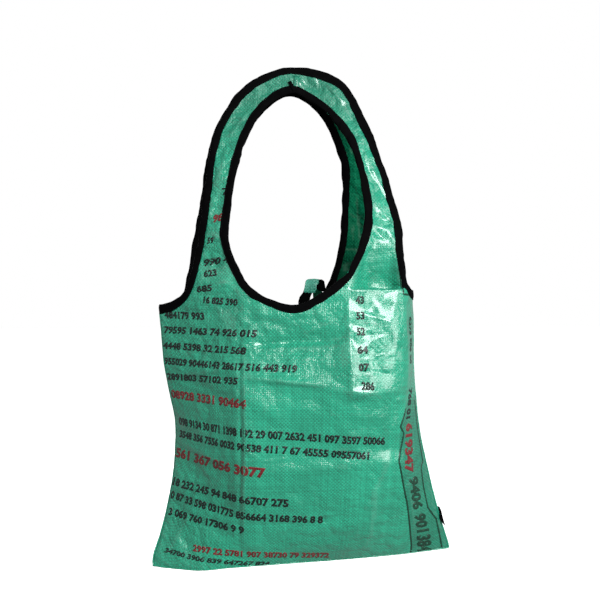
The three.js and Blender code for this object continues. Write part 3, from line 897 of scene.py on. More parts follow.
def near_tree(places):
    tree = KDTree(len(places))
    for i, place in enumerate(places):
        tree.insert(place, i)
    tree.balance()
    return tree


def distance_to(points, places):
    tree = near_tree(places)
    return np.array([tree.find(p)[2] for p in points]) / MM


borders = {name: split_border(mesh) for name, mesh in skins.items()}
for name, border in borders.items():
    print(name, "border runs:", {run: len(ids) for run, ids in border.items()})

# %% [markdown]
# ## Press the marks in
# All marks add up along the cloth's own normal. They fade towards the seams and the tapes, which
# hold the cloth, and small puckers stand where the thread draws the seam in. Three values are kept
# with each point for the finish: how crushed it is, whether it is a raised ridge, which the finish
# paints paler as rubbed film and as a painted sheen, and whether it lies on the side band.

# %% Press the cloth
SEAM_FADE = 26.0
TAPE_COVER = 5.0
TAPE_FADE = 14.0
TAPE_HOLD = 0.22
PUCKER_TURN = 0.62
PUCKER_DRIFT = {"z": (2.2, 0.11), "x": (1.7, 0.093)}
PUCKER_DEPTH = 0.45
PUCKER_START = 2.5
PUCKER_REACH = 7.0
SEAM_DRAW = 0.85
DRAW_REACH = 6.0
RIDGE_HEIGHT = 0.16
RIDGE_START = 4.0
BAND_BLUR = 2.0
BROAD_LEAST = 0.4
SMALL_LEAST = 0.15


def blend(least, crush):
    return least + (1 - least) * crush


def pucker_phase(x, z):
    (size_z, turn_z), (size_x, turn_x) = PUCKER_DRIFT["z"], PUCKER_DRIFT["x"]
    return PUCKER_TURN * (x + z) + size_z * np.sin(turn_z * z) + size_x * np.sin(turn_x * x)


def press_cloth(name, mesh):
    creases, sags, zones, seed = PANEL_MARKS[name]
    points = read_points(mesh)
    normals = read_points(mesh, "normal")
    x, z = points[:, 0] / MM, points[:, 2] / MM
    border = borders[name]
    seam = distance_to(points, points[border["sewn"]])
    tape = distance_to(points, points[border["mouth"] + border["outer"]])
    crush = crush_amount(zones, x, z)
    pairs = edge_pairs(mesh)
    broad = facets(x, z, seed, LARGE_NET)
    small = facets(x, z, seed + 1, SMALL_NET)
    broad = neighbour_mean(pairs, broad)
    free = smooth(seam / SEAM_FADE)
    held = TAPE_HOLD + (1 - TAPE_HOLD) * smooth((tape - TAPE_COVER) / TAPE_FADE)
    raised = (broad * blend(BROAD_LEAST, crush) + small * blend(SMALL_LEAST, crush)) * free * held
    raised -= (crease_depth(creases, x, z) + sag_depth(sags, x, z) * held) * free
    pucker = np.sin(pucker_phase(x, z))
    raised += PUCKER_DEPTH * pucker * np.exp(-seam / PUCKER_REACH) * smooth(seam / PUCKER_START)
    raised -= SEAM_DRAW * (1 - smooth(seam / DRAW_REACH))
    points += normals * raised[:, None] * MM
    mesh.vertices.foreach_set("co", points.ravel())
    mesh.update()
    lifted = ((points - neighbour_mean(pairs, points)) * read_points(mesh, "normal")).sum(1) / MM
    ridge = np.clip(lifted / RIDGE_HEIGHT, 0, 1) * smooth(seam / RIDGE_START)
    zs, xs = zip(*BAND_LINE)
    band = smooth((x - np.interp(z, zs, xs)) / BAND_BLUR) * (name == "front")
    for label, values in (("crush", crush), ("ridge", ridge), ("band", band)):
        mesh.attributes.new(label, "FLOAT", "POINT").data.foreach_set("value", values)
    return raised


for name, mesh in skins.items():
    pressed = press_cloth(name, mesh)
    print(name, "cloth is pressed by up to", round(float(np.abs(pressed).max()), 1), "mm")

# %% [markdown]
# ## Thin sheets
# The pressed skins become sheets with two faces, 0.7 mm apart. A sheet with no thickness would
# show its paint on both faces, while the real sack is darker and duller inside, where there is no
# film. The Solidify modifier makes the inner face and gives it the second finish. The places on
# the flat cloth go into a UV map, so weave and print follow the cloth.

# %% Make the sheets
CLOTH_THICKNESS = 0.7 * MM


def set_cloth_places(mesh, places):
    layer = mesh.uv_layers.new(name="cloth")
    corner = np.zeros(len(mesh.loops), int)
    mesh.loops.foreach_get("vertex_index", corner)
    layer.data.foreach_set("uv", np.asarray(places)[corner].ravel())


def smooth_faces(mesh):
    mesh.polygons.foreach_set("use_smooth", [True] * len(mesh.polygons))
    return mesh


def ride(piece, node=None):
    """Fixes a piece to the bag and hides the plain solid that it stands for, if one is given."""
    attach(piece, "root")
    if node:
        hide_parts(node)
    return piece


def make_sheet(name, mesh):
    points = read_points(mesh)
    set_cloth_places(mesh, flats[name].places(points[:, 0], points[:, 2]))
    mesh.materials.append(SACK_OUTSIDE)
    mesh.materials.append(SACK_INSIDE)
    settings = {"thickness": CLOTH_THICKNESS, "offset": -1, "material_offset": 1}
    thick = smooth_faces(with_modifier(mesh, "SOLIDIFY", **settings))
    return ride(add_object(name + "_cloth", thick), name + "_panel")


cloths = {name: make_sheet(name, mesh) for name, mesh in skins.items()}
for name, piece in cloths.items():
    area = sum(face.area for face in piece.data.polygons) / 2
    print(name, "cloth:", round(area, 4), "square metres,", 2 * len(piece.data.polygons), "triangles")

# %% [markdown]
# ## An edge in even steps
# A maker feels where an edge runs, which way leads into the cloth and which way out of it. The
# same three directions are worked out here every 1.6 mm. A place near the edge is a step in and a
# step out from there, moved to the nearest cloth, so what is sewn on rides over the dents. Waves
# made from a few seeded values keep the sewn pieces from being even.

# %% Waves and edges
EDGE_STEP = 1.6 * MM
FOLLOW_FROM = 2.0


class Wave:
    """A smooth random wave along a run, from -1 to 1, that closes on itself."""

    def __init__(self, rng, length, step):
        self.length = length
        self.count = max(4, round(length / step))
        self.values = rng.uniform(-1, 1, self.count)

    def __call__(self, at):
        turn = (at / self.length % 1) * self.count
        here = turn.astype(int) % self.count
        share = smooth(turn - turn.astype(int))
        return self.values[here] * (1 - share) + self.values[(here + 1) % self.count] * share


def unit(vectors):
    return vectors / np.maximum(np.linalg.norm(vectors, axis=1), 1e-12)[:, None]


class Edge:
    """An edge of a sheet as even steps, each with its run, its outward and its inward direction."""

    def __init__(self, mesh, chain, closed):
        points, normals = read_points(mesh), read_points(mesh, "normal")
        inner = neighbour_mean(edge_pairs(mesh), points) - points
        ids = chain + chain[:1] if closed else chain
        path = points[ids]
        gaps = np.linalg.norm(np.diff(path, axis=0), axis=1)
        along = np.concatenate([[0], np.cumsum(gaps)])
        self.closed = closed
        self.length = along[-1]
        self.count = round(self.length / EDGE_STEP)
        self.at = np.linspace(0, self.length, self.count, endpoint=not closed)
        smoothed = self.resample(along, path)
        for _ in range(3):
            smoothed = self.average(smoothed)
        self.points = smoothed
        if closed:
            self.run = unit(np.roll(smoothed, -1, 0) - np.roll(smoothed, 1, 0))
        else:
            self.run = unit(np.gradient(smoothed, axis=0))
        out = self.average(self.average(self.resample(along, normals[ids])))
        inward = self.resample(along, inner[ids])
        self.out = unit(out - self.run * (out * self.run).sum(1)[:, None])
        sideways = np.cross(self.out, self.run)
        sign = np.sign((sideways * inward).sum())
        self.inward = sideways * sign
        self.tree = tree_of(mesh)

    def resample(self, along, values):
        return np.stack([np.interp(self.at, along, column) for column in values.T], axis=1)

    def average(self, values):
        if self.closed:
            return (np.roll(values, 1, 0) + 2 * values + np.roll(values, -1, 0)) / 4
        made = values.copy()
        made[1:-1] = (values[:-2] + 2 * values[1:-1] + values[2:]) / 4
        return made

    def place(self, reach, height):
        """Points at a distance into the cloth and out of it, in millimetres, on the cloth's dents."""
        places = self.points + MM * self.inward * reach[:, None]
        outward = self.out.copy()
        for i in np.flatnonzero(reach > FOLLOW_FROM):
            hit, normal, _, _ = self.tree.find_nearest(Vector(places[i]))
            places[i] = hit
            outward[i] = unit(outward[i : i + 1] + np.array(normal))[0]
        return places + MM * outward * height[:, None]


edges = {}
for name in PANELS:
    for run, closed in (("outer", False), ("mouth", True)):
        edges[name + "_" + run] = Edge(skins[name], borders[name][run], closed)
print("edges in mm:", {key: round(edge.length / MM) for key, edge in edges.items()})

# %% [markdown]
# ## Bound edges
# Bias tape is folded over a cut edge and sewn through. It is soft and a little long for the edge,
# so it gathers into slanted puckers between the stitches, and its outline is never quite even.
# A closed section is carried along the edge of the sheet: out over the front, round the fold and
# back behind. Each ring of the section is moved a little by random but smooth waves.

# %% Bias tape
TAPE_SECTION = [
    (9.4, 0.15), (9.7, 0.5), (9.2, 0.95), (8.0, 0.72), (6.2, 1.15), (3.6, 1.3),
    (1.0, 1.2), (-0.8, 0.75), (-1.4, -0.35), (-0.8, -1.45), (1.0, -1.9), (3.6, -2.0),
    (6.2, -1.85), (8.0, -1.42), (9.2, -1.65), (9.7, -1.2), (9.4, -0.85), (5.0, -0.85),
    (-0.3, -0.6), (-0.3, -0.1), (5.0, 0.15),
]
OUTER_POINTS = 17
WAVE_STEPS = {"slow": 46, "lumps": 17, "fine": 5.5, "coarse": 10}
WIDTH_SWING = 0.12
FRONT_FROM = -0.35
TAPE_SLANT = 0.8
PLEAT_COARSE, PLEAT_POWER = 0.7, 1.4
PLEAT_START, PLEAT_SPAN = 1.6, 9.8
PLEAT_ENDS = (0.04, 0.96)
FOLD_LUMPS, FOLD_SLOW, FOLD_FINE = 1.0, 0.6, 0.35
HEM_FROM, HEM_SWING = 9, 0.6
WAVE_SHIFTS = (9, 31)
TAPE_SEED, TAPE_SEED_STEP = 101, 7


def tidy_mesh(name, points, faces, material):
    """A closed mesh with its faces turned outwards and smooth."""
    mesh = bpy.data.meshes.new(name)
    mesh.from_pydata([tuple(p) for p in points], [], faces)
    bm = bmesh.new()
    bm.from_mesh(mesh)
    bmesh.ops.recalc_face_normals(bm, faces=bm.faces)
    bm.to_mesh(mesh)
    bm.free()
    mesh.materials.append(material)
    return smooth_faces(mesh)


def rings_to_mesh(name, rings, closed, material):
    """A tube through rings of points, closed on itself or at its two ends."""
    count, width = len(rings), len(rings[0])
    faces = []
    for i in range(count if closed else count - 1):
        a, b = i * width, (i + 1) % count * width
        for k in range(width):
            n = (k + 1) % width
            faces.append((a + k, a + n, b + n, b + k))
    if not closed:
        faces.append(tuple(range(width))[::-1])
        faces.append(tuple(range((count - 1) * width, count * width)))
    return tidy_mesh(name, np.concatenate(rings), faces, material)


def bind_edge(name, edge, seed):
    rng = np.random.default_rng(seed)
    at = edge.at / MM
    length = edge.length / MM
    slow, lumps, fine, coarse = (Wave(rng, length, step) for step in WAVE_STEPS.values())
    width = 1 + WIDTH_SWING * slow(at)
    uneven = FOLD_LUMPS * lumps(at) + FOLD_SLOW * slow(at + WAVE_SHIFTS[0]) + FOLD_FINE * fine(at)
    columns = []
    for k, (reach, height) in enumerate(TAPE_SECTION):
        side = 1 if height > FRONT_FROM else -1
        slant = at + TAPE_SLANT * reach * side
        pleat = np.clip(fine(slant) + PLEAT_COARSE * coarse(slant), 0, None) ** PLEAT_POWER
        room = math.sin(math.pi * np.clip((reach + PLEAT_START) / PLEAT_SPAN, *PLEAT_ENDS))
        swell = pleat * room * (1.0 if k < OUTER_POINTS else 0)
        on_fold = reach < 0 and k < OUTER_POINTS
        outward = uneven if on_fold else 0 * at
        hem = HEM_SWING * coarse(at + WAVE_SHIFTS[1]) if reach > HEM_FROM else 0 * at
        columns.append(edge.place(reach * width - outward + hem, height + side * swell))
    rings = np.stack(columns, axis=1)
    return add_object(name, rings_to_mesh(name, rings, edge.closed, BLACK_TAPE))


tapes = {}
for key, edge in edges.items():
    tape = bind_edge(key + "_tape", edge, TAPE_SEED + TAPE_SEED_STEP * len(tapes))
    tapes[key] = ride(tape, key + "_binding")
print({key: len(tape.data.polygons) for key, tape in tapes.items()}, "faces of tape")

# %% [markdown]
# ## Stitches
# A line of black stitches holds each tape, near its inner side, on both faces. One stitch is a
# small spindle of thread, 2.6 mm long, that dips into the tape at both ends. Thousands of them
# are one joined mesh for each tape, made from copies of the same few points.

# %% Sew the tapes
STITCH_PITCH = 3.5
STITCH_HALF = 1.3
STITCH_SIDES = 4
STITCH_RINGS = [(-1.0, 0.06, -0.25), (-0.55, 0.24, 0.05), (0.55, 0.24, 0.05), (1.0, 0.06, -0.25)]
STITCH_LINES = [(8.0, 0.80), (8.0, -1.50)]


def thread_mesh(name, spots, material, half=STITCH_HALF):
    """One spindle of thread for each spot: its centre, its run and the way out of the cloth."""
    points, faces = [], []
    for centre, run, out in spots:
        base = len(points)
        across = np.cross(run, out)
        for share, radius, lift in STITCH_RINGS:
            middle = centre + MM * (run * share * half + out * lift)
            for k in range(STITCH_SIDES):
                turn = 2 * math.pi * (k + 0.5) / STITCH_SIDES
                ring = out * math.sin(turn) + across * math.cos(turn)
                points.append(middle + MM * radius * ring)
        for j in range(len(STITCH_RINGS) - 1):
            for k in range(STITCH_SIDES):
                a = base + j * STITCH_SIDES + k
                b = base + j * STITCH_SIDES + (k + 1) % STITCH_SIDES
                faces.append((a, b, b + STITCH_SIDES, a + STITCH_SIDES))
        last = base + (len(STITCH_RINGS) - 1) * STITCH_SIDES
        faces.append(tuple(range(base, base + STITCH_SIDES))[::-1])
        faces.append(tuple(range(last, last + STITCH_SIDES)))
    return tidy_mesh(name, points, faces, material)


def sew(name, edge):
    every = STITCH_PITCH * MM / (edge.length / edge.count)
    starts = np.arange(2, edge.count - 2, every).astype(int)
    spots = []
    for reach, height in STITCH_LINES:
        facing = 1 if height > 0 else -1
        middle = edge.place(np.full(edge.count, reach), np.full(edge.count, height))
        spots += [(middle[i], edge.run[i], edge.out[i] * facing) for i in starts]
    return ride(add_object(name, thread_mesh(name, spots, BLACK_THREAD)))


stitches = {key: sew(key + "_stitches", edge) for key, edge in edges.items()}
print({key: len(piece.data.polygons) for key, piece in stitches.items()}, "faces of thread")

# %% [markdown]
# ## Sewn seams
# The sides and the bottom are sewn inside out and turned, so from outside each seam is a narrow
# rolled edge. The two sheets end just short of each other, and a thin roll of the same cloth
# closes the line between them. Its thickness changes a little where the stitches pull.

# %% Side and bottom seam
ROLL_RADIUS = 1.05
ROLL_SIDES = 8
ROLL_PULL, ROLL_WAVE = 0.16, 6
ROLL_TIP, ROLL_TAPER = 0.3, 6
ROLL_SEED = 57


def seam_roll():
    edge = Edge(skins["front"], borders["front"]["sewn"], False)
    behind = read_points(skins["back"])[borders["back"]["sewn"]]
    tree = near_tree(behind)
    partners = np.array([behind[tree.find(p)[1]] for p in edge.points])
    middle = edge.average(edge.average((edge.points + partners) / 2))
    pull = Wave(np.random.default_rng(ROLL_SEED), edge.length / MM, ROLL_WAVE)(edge.at / MM)
    radius = ROLL_RADIUS * (1 + ROLL_PULL * pull) * MM
    taper = np.minimum(1, ROLL_TIP + np.minimum(edge.at, edge.length - edge.at) / (ROLL_TAPER * MM))
    across = unit(np.cross(edge.run, np.array([0, 1, 0])))
    depth = np.cross(edge.run, across)
    columns = []
    for k in range(ROLL_SIDES):
        turn = 2 * math.pi * k / ROLL_SIDES
        ring = across * math.cos(turn) + depth * math.sin(turn)
        columns.append(middle + ring * (radius * taper)[:, None])
    mesh = rings_to_mesh("seam_roll", np.stack(columns, axis=1), False, SACK_OUTSIDE)
    set_cloth_places(mesh, np.repeat(edge.at, ROLL_SIDES)[:, None] * np.array([[0, 1]]))
    return ride(add_object("seam_roll", mesh))


roll = seam_roll()
print("the seam roll has", len(roll.data.polygons), "faces")

# %% [markdown]
# ## Thin pieces that lie on the cloth
# Print, a lapped seam and a loose tape end all lie on the hung cloth. Each is drawn flat, in x and
# z, cut into short edges and dropped onto the panel along a ray, so it follows every dent. A
# picture on the cloth would need an image; a thin closed sheet needs only its outline. Distances
# across are walked along the cloth, which keeps the signs from squeezing on the steep sides.

# %% Lay pieces on the cloth
PATCH_EDGE = 3.0 * MM
RIBBON_STEP = 2.2
cloth_trees = {name: tree_of(mesh) for name, mesh in skins.items()}


def shorten_edges(bm, longest):
    for _ in range(4):
        long = [edge for edge in bm.edges if edge.calc_length() > longest]
        if not long:
            break
        bmesh.ops.subdivide_edges(bm, edges=long, cuts=1)
        bmesh.ops.triangulate(bm, faces=bm.faces[:])


def meet(panel, x, z):
    """Where a ray from outside meets a panel's cloth, and which way the cloth faces there."""
    side = PANELS[panel]
    return cloth_trees[panel].ray_cast(Vector((x, side, z)), Vector((0, -side, 0)))[:2]


def lay_on(name, pattern, panel, lift, thickness, material):
    """A thin closed mesh from a flat pattern drawn in x and z."""
    lost = []
    for vert in pattern.verts:
        hit, normal = meet(panel, vert.co.x, vert.co.z)
        if hit is None:
            lost.append(vert)
        else:
            vert.co = hit + normal * lift * MM
    bmesh.ops.delete(pattern, geom=lost, context="VERTS")
    pattern.normal_update()
    wrong = [face for face in pattern.faces if face.normal.y * PANELS[panel] < 0]
    bmesh.ops.reverse_faces(pattern, faces=wrong)
    mesh = mesh_from(pattern, name)
    points = read_points(mesh)
    set_cloth_places(mesh, flats[panel].places(points[:, 0], points[:, 2]))
    thick = smooth_faces(with_modifier(mesh, "SOLIDIFY", thickness=thickness * MM, offset=1))
    thick.materials.append(material)
    return add_object(name, thick)


def across_of(flat, x, z):
    return float(flat.read(flat.across, np.array([x * MM]), np.array([z * MM]))[0])


def ribbon(bm, panel, path, half_width):
    """Adds a band of even width to a pattern, along a path of x and z in millimetres."""
    flat = flats[panel]
    line = np.array([(across_of(flat, x, z) / MM, z) for x, z in path])
    gaps = np.hypot(*np.diff(line, axis=0).T)
    along = np.concatenate([[0], np.cumsum(gaps)])
    at = np.linspace(0, along[-1], max(2, round(along[-1] / RIBBON_STEP)))
    line = np.stack([np.interp(at, along, column) for column in line.T], axis=1)
    run = unit(np.gradient(line, axis=0))
    side = np.stack([-run[:, 1], run[:, 0]], axis=1) * half_width
    rows = []
    for share in (-1, 0, 1):
        places = line + side * share
        rows.append([bm.verts.new((flat.x_at(u * MM, z * MM), 0, z * MM)) for u, z in places])
    for low, high in zip(rows, rows[1:]):
        for i in range(len(low) - 1):
            bm.faces.new((low[i], low[i + 1], high[i + 1], high[i]))


print("pieces are laid with edges of", PATCH_EDGE / MM, "mm at most")

# %% [markdown]
# ## Crown seam and tape end
# Each strap is closed at the crown by a lapped seam, and the tape that binds the mouth starts
# there, so its cut end sticks out a little. Both are short bands laid on the cloth.

# %% Crown seam
CROWN_LAPS = {"front": [(7, 3), (8.5, 27)], "back": [(10, 3), (11, 27)]}
LAP_HALF = 4.4
LAP_LIFT, LAP_THICKNESS = 0.02, 0.42
LAP_PITCH, LAP_INSET = 2.6, 1.2
LAP_STITCH_HALF, LAP_STITCH_LIFT = 0.95, 0.5
LAP_RUN = np.array([0.05, 0, 1.0])
TAPE_END = [(-1.5, 19), (1.5, 13), (7.5, 1)]
TAPE_END_HALF = 2.3
TAPE_END_LIFT, TAPE_END_THICKNESS = 0.5, 1.1


def crown_lap(panel):
    bm = bmesh.new()
    ribbon(bm, panel, CROWN_LAPS[panel], LAP_HALF)
    piece = lay_on(panel + "_crown_lap", bm, panel, LAP_LIFT, LAP_THICKNESS, SACK_OUTSIDE)
    return ride(piece)


def crown_thread(panel):
    (x0, z0), (x1, z1) = CROWN_LAPS[panel]
    spots = []
    for z in np.arange(z0 + 2, z1 - 1, LAP_PITCH):
        x = x0 + (x1 - x0) * (z - z0) / (z1 - z0) - LAP_HALF + LAP_INSET
        hit, normal = meet(panel, x * MM, z * MM)
        spots.append((np.array(hit + normal * LAP_STITCH_LIFT * MM), LAP_RUN, np.array(normal)))
    name = panel + "_crown_stitches"
    mesh = thread_mesh(name, spots, BLACK_THREAD, LAP_STITCH_HALF)
    return ride(add_object(name, mesh))


laps = {panel: [crown_lap(panel), crown_thread(panel)] for panel in PANELS}
stub = bmesh.new()
ribbon(stub, "front", TAPE_END, TAPE_END_HALF)
stub_sizes = (TAPE_END_LIFT, TAPE_END_THICKNESS)
tape_end = ride(lay_on("mouth_tape_end", stub, "front", *stub_sizes, BLACK_TAPE))
print("crown laps have", [len(pair[0].data.polygons) for pair in laps.values()], "faces")

# %% [markdown]
# ## The closing loop
# A short strip of bound sack cloth is sewn behind the back neckline. It goes up as a black bound
# leg, turns over in a wide fold and comes down as a green leg. Bending one strip by simulation
# would be slow for a piece of six centimetres, so four flat outlines are cut, curved by a formula
# and given a thickness. Sizes are in millimetres, on a plane that follows the back panel.

# %% Flat plates
PLATE_STEP = 2.0
RIM_CLEAR = 1.0
BEVEL_SHARE = 0.3


def inside(x, z, outline):
    odd = False
    for (xa, za), (xb, zb) in zip(outline, outline[1:] + outline[:1]):
        if (za > z) != (zb > z) and x < xa + (z - za) * (xb - xa) / (zb - za):
            odd = not odd
    return odd


def plate(outline, depth, thickness, material):
    """A closed sheet with this outline in x and z, whose depth is given by a formula."""
    rim = []
    for (xa, za), (xb, zb) in zip(outline, outline[1:] + outline[:1]):
        steps = max(1, round(math.hypot(xb - xa, zb - za) / PLATE_STEP))
        rim += [(xa + (xb - xa) * i / steps, za + (zb - za) * i / steps) for i in range(steps)]
    (x0, z0), (x1, z1) = (map(reach, zip(*outline)) for reach in (min, max))
    grid = [(x, z) for x in np.arange(x0, x1, PLATE_STEP) for z in np.arange(z0, z1, PLATE_STEP)]
    room = [p for p in grid if inside(*p, outline) and min(math.dist(p, q) for q in rim) > RIM_CLEAR]
    spots = [Vector(p) for p in rim + room]
    border = [list(range(len(rim)))]
    points, _, faces, *_ = geometry.delaunay_2d_cdt(spots, [], border, 1, 1e-6)
    mesh = bpy.data.meshes.new("plate")
    mesh.from_pydata([(p.x * MM, depth(p.x, p.y) * MM, p.y * MM) for p in points], [], faces)
    set_cloth_places(mesh, [(p.x * MM, p.y * MM) for p in points])
    mesh.materials.append(material)
    thick = with_modifier(mesh, "SOLIDIFY", thickness=thickness * MM, offset=0)
    bevel = {"width": BEVEL_SHARE * thickness * MM, "segments": 2, "limit_method": "ANGLE"}
    return smooth_faces(with_modifier(thick, "BEVEL", **bevel))


def join_meshes(name, meshes, materials):
    bm = bmesh.new()
    for number, mesh in enumerate(meshes):
        known = len(bm.faces)
        bm.from_mesh(mesh)
        bm.faces.ensure_lookup_table()
        for face in bm.faces[known:]:
            face.material_index = number
    made = mesh_from(bm, name)
    for material in materials:
        made.materials.append(material)
    return add_object(name, made)


print("plates have a grid of", PLATE_STEP, "mm")

# %% [markdown]
# ## Cut and fold the loop
# The black leg, the green leg and the fold in front of them make the strip; the bound edge lies on
# the fold's right side. The feet of the legs lean back until they touch the panel, where rows of
# thread hold them.

# %% Closing loop
BLACK_LEG = [(21, -303), (19.8, -287), (19.6, -279), (21.5, -272), (26.5, -265.5), (30.5, -252)]
BLACK_LEG += [(34, -249), (40, -249), (39.6, -267), (37.4, -271.5), (36, -278), (36, -303)]
GREEN_LEG = [(42, -303), (41.8, -281), (40.8, -269), (41, -250), (50, -249), (54, -262)]
GREEN_LEG += [(55.6, -275), (56, -303)]
FOLD = [(27.3, -265.5), (27.6, -261), (29.7, -250), (31.5, -247.4), (34.3, -246.2), (43, -245.6)]
FOLD += [(50.5, -246.6), (49, -251.5), (45.6, -256), (45.4, -261), (43.4, -266.7), (35, -266.2)]
BOUND_EDGE = [(50, -246.8), (53.5, -246.6), (56.9, -249.0), (58.2, -256), (59.2, -263.5)]
BOUND_EDGE += [(55, -264.5), (50, -261.5), (47, -260.3), (45.2, -258.5), (46.6, -254.5), (48.6, -251)]
LOOP_FOOT = -284.0
LOOP_DEPTH, LOOP_TURN = 65.8, 0.104
LEG_LEAN = 3.4
STRIP_THICKNESS = 1.2
THREAD_LIFT, EDGE_THREAD_LIFT = 0.75, 0.8
EDGE_SPOTS = [(50, -247.5), (48.4, -251.3), (45.6, -255.2), (45.2, -259.6)]
EDGE_RUN = np.array([0.94, 0, -0.34])


def loop_plane(x):
    return LOOP_DEPTH - LOOP_TURN * x


def leg_depth(x, z):
    return loop_plane(x) + LEG_LEAN * smooth((LOOP_FOOT - z) / 16.0) - 0.5 * math.cos(0.2 * x)


def fold_depth(x, z):
    rounded = smooth((z + 256) / 11.0)
    tuck = smooth((-262 - z) / 6.0)
    return loop_plane(x) - 3.6 + 3.0 * rounded + 1.2 * tuck - 0.5 * math.sin(0.35 * x)


def edge_depth(x, z):
    return loop_plane(x) - 2.2 + 1.2 * smooth((z + 253) / 8.0) - 0.35 * math.sin(1.4 * z)


# The fold's paler green is painted light; the green leg takes the inside finish with its painted shade.
LOOP_GREEN = [(leg_depth, GREEN_LEG, SACK_INSIDE), (fold_depth, FOLD, SACK_FOLD_LIT)]
LOOP_BLACK = [(leg_depth, BLACK_LEG, BLACK_TAPE), (edge_depth, BOUND_EDGE, BLACK_TAPE)]
parts = LOOP_GREEN + LOOP_BLACK
loop_meshes = [plate(outline, depth, STRIP_THICKNESS, material) for depth, outline, material in parts]
loop = join_meshes("closing_loop_strip", loop_meshes, [material for _, _, material in parts])
ride(loop, "closing_loop")


def loop_thread():
    toward = np.array([0, -1.0, 0])
    spots = []
    for x, z in EDGE_SPOTS:
        place = np.array([x, edge_depth(x, z) - EDGE_THREAD_LIFT, z]) * MM
        spots.append((place, EDGE_RUN, toward))
    rows = [(x, z) for x in (44, 46.5, 49, 51.5, 54) for z in (-268, -276)]
    rows += [(x, z) for z in (-296, -298.5, -301) for x in (23, 26, 29, 32, 35, 44, 47, 50, 53)]
    for x, z in rows:
        place = np.array([x, leg_depth(x, z) - THREAD_LIFT, z]) * MM
        spots.append((place, np.array([1.0, 0, 0]), toward))
    mesh = thread_mesh("closing_loop_stitches", spots, BLACK_THREAD)
    return ride(add_object("closing_loop_stitches", mesh))


loop_stitches = loop_thread()
print("the loop has", len(loop.data.polygons), "faces")

# %% [markdown]
# ## The side label
# A scrap of black satin tape is caught in the right seam. It hangs folded, so only a dark wedge of
# it shows. It stays bare. One bent plate is enough for two centimetres.

# %% Side label
LABEL = [(203.6, -563), (207.4, -563.6), (209.6, -568.5), (215.4, -590.5), (210.8, -585.6)]
LABEL += [(206.8, -579)]
LABEL_DEPTH, LABEL_TURN = -13.0, 0.16
LABEL_THICKNESS = 1.1


def label_depth(x, z):
    return LABEL_DEPTH - LABEL_TURN * (x - 204) + 0.6 * math.sin(0.28 * (z + 563))


label = add_object("side_label_tape", plate(LABEL, label_depth, LABEL_THICKNESS, BLACK_TAPE))
ride(label, "side_label")
print("the label is bare and has", len(label.data.polygons), "faces")

# %% [markdown]
# ## Inks
# The sack was printed before it was sewn, so the ink lies under the film and shares its gloss and
# relief. Where tapes cross, a little ink is missing. The inks are the same finish as the cloth,
# with their own colour and tiny gaps.

# %% Ink finishes
INKS = {
    "black": (0.0015, 0.004, 0.004),
    "red": (0.170, 0.008, 0.013),
    "green": (0.001, 0.035, 0.017),
}
INK_RELIEF = 0.5
GAP_SPOTS = 700
GAP_RANGE, GAP_SHARE = (0.52, 0.66), 0.35
GAP_TONE = 0.45


def ink_finish(name, colour):
    finish = Finish(name + "_ink", roughness=0.42, gloss=0.35, coat=0.2, coat_roughness=0.25)
    place = finish.cloth_place()
    normal, _ = film_relief(finish, place, INK_RELIEF)
    gaps = finish.ramp(finish.noise(place, GAP_SPOTS, 2), *GAP_RANGE, 0.0, GAP_SHARE)
    painted = finish.mix(gaps, shade(colour, 1), shade(SACK_GREEN, GAP_TONE))
    return finish.finish(painted, normal)


ink_finishes = {name: ink_finish(name, colour) for name, colour in INKS.items()}
print("inks:", list(INKS))

# %% [markdown]
# ## Plain numbers
# A sack of this kind is printed in rows, in two or three inks, before it is cut up and sewn. Plain
# numbers make up the rows here. Each row has its ink, the points of its baseline on the bag, the
# height and the slant of its digits, and the lengths of its groups of digits.

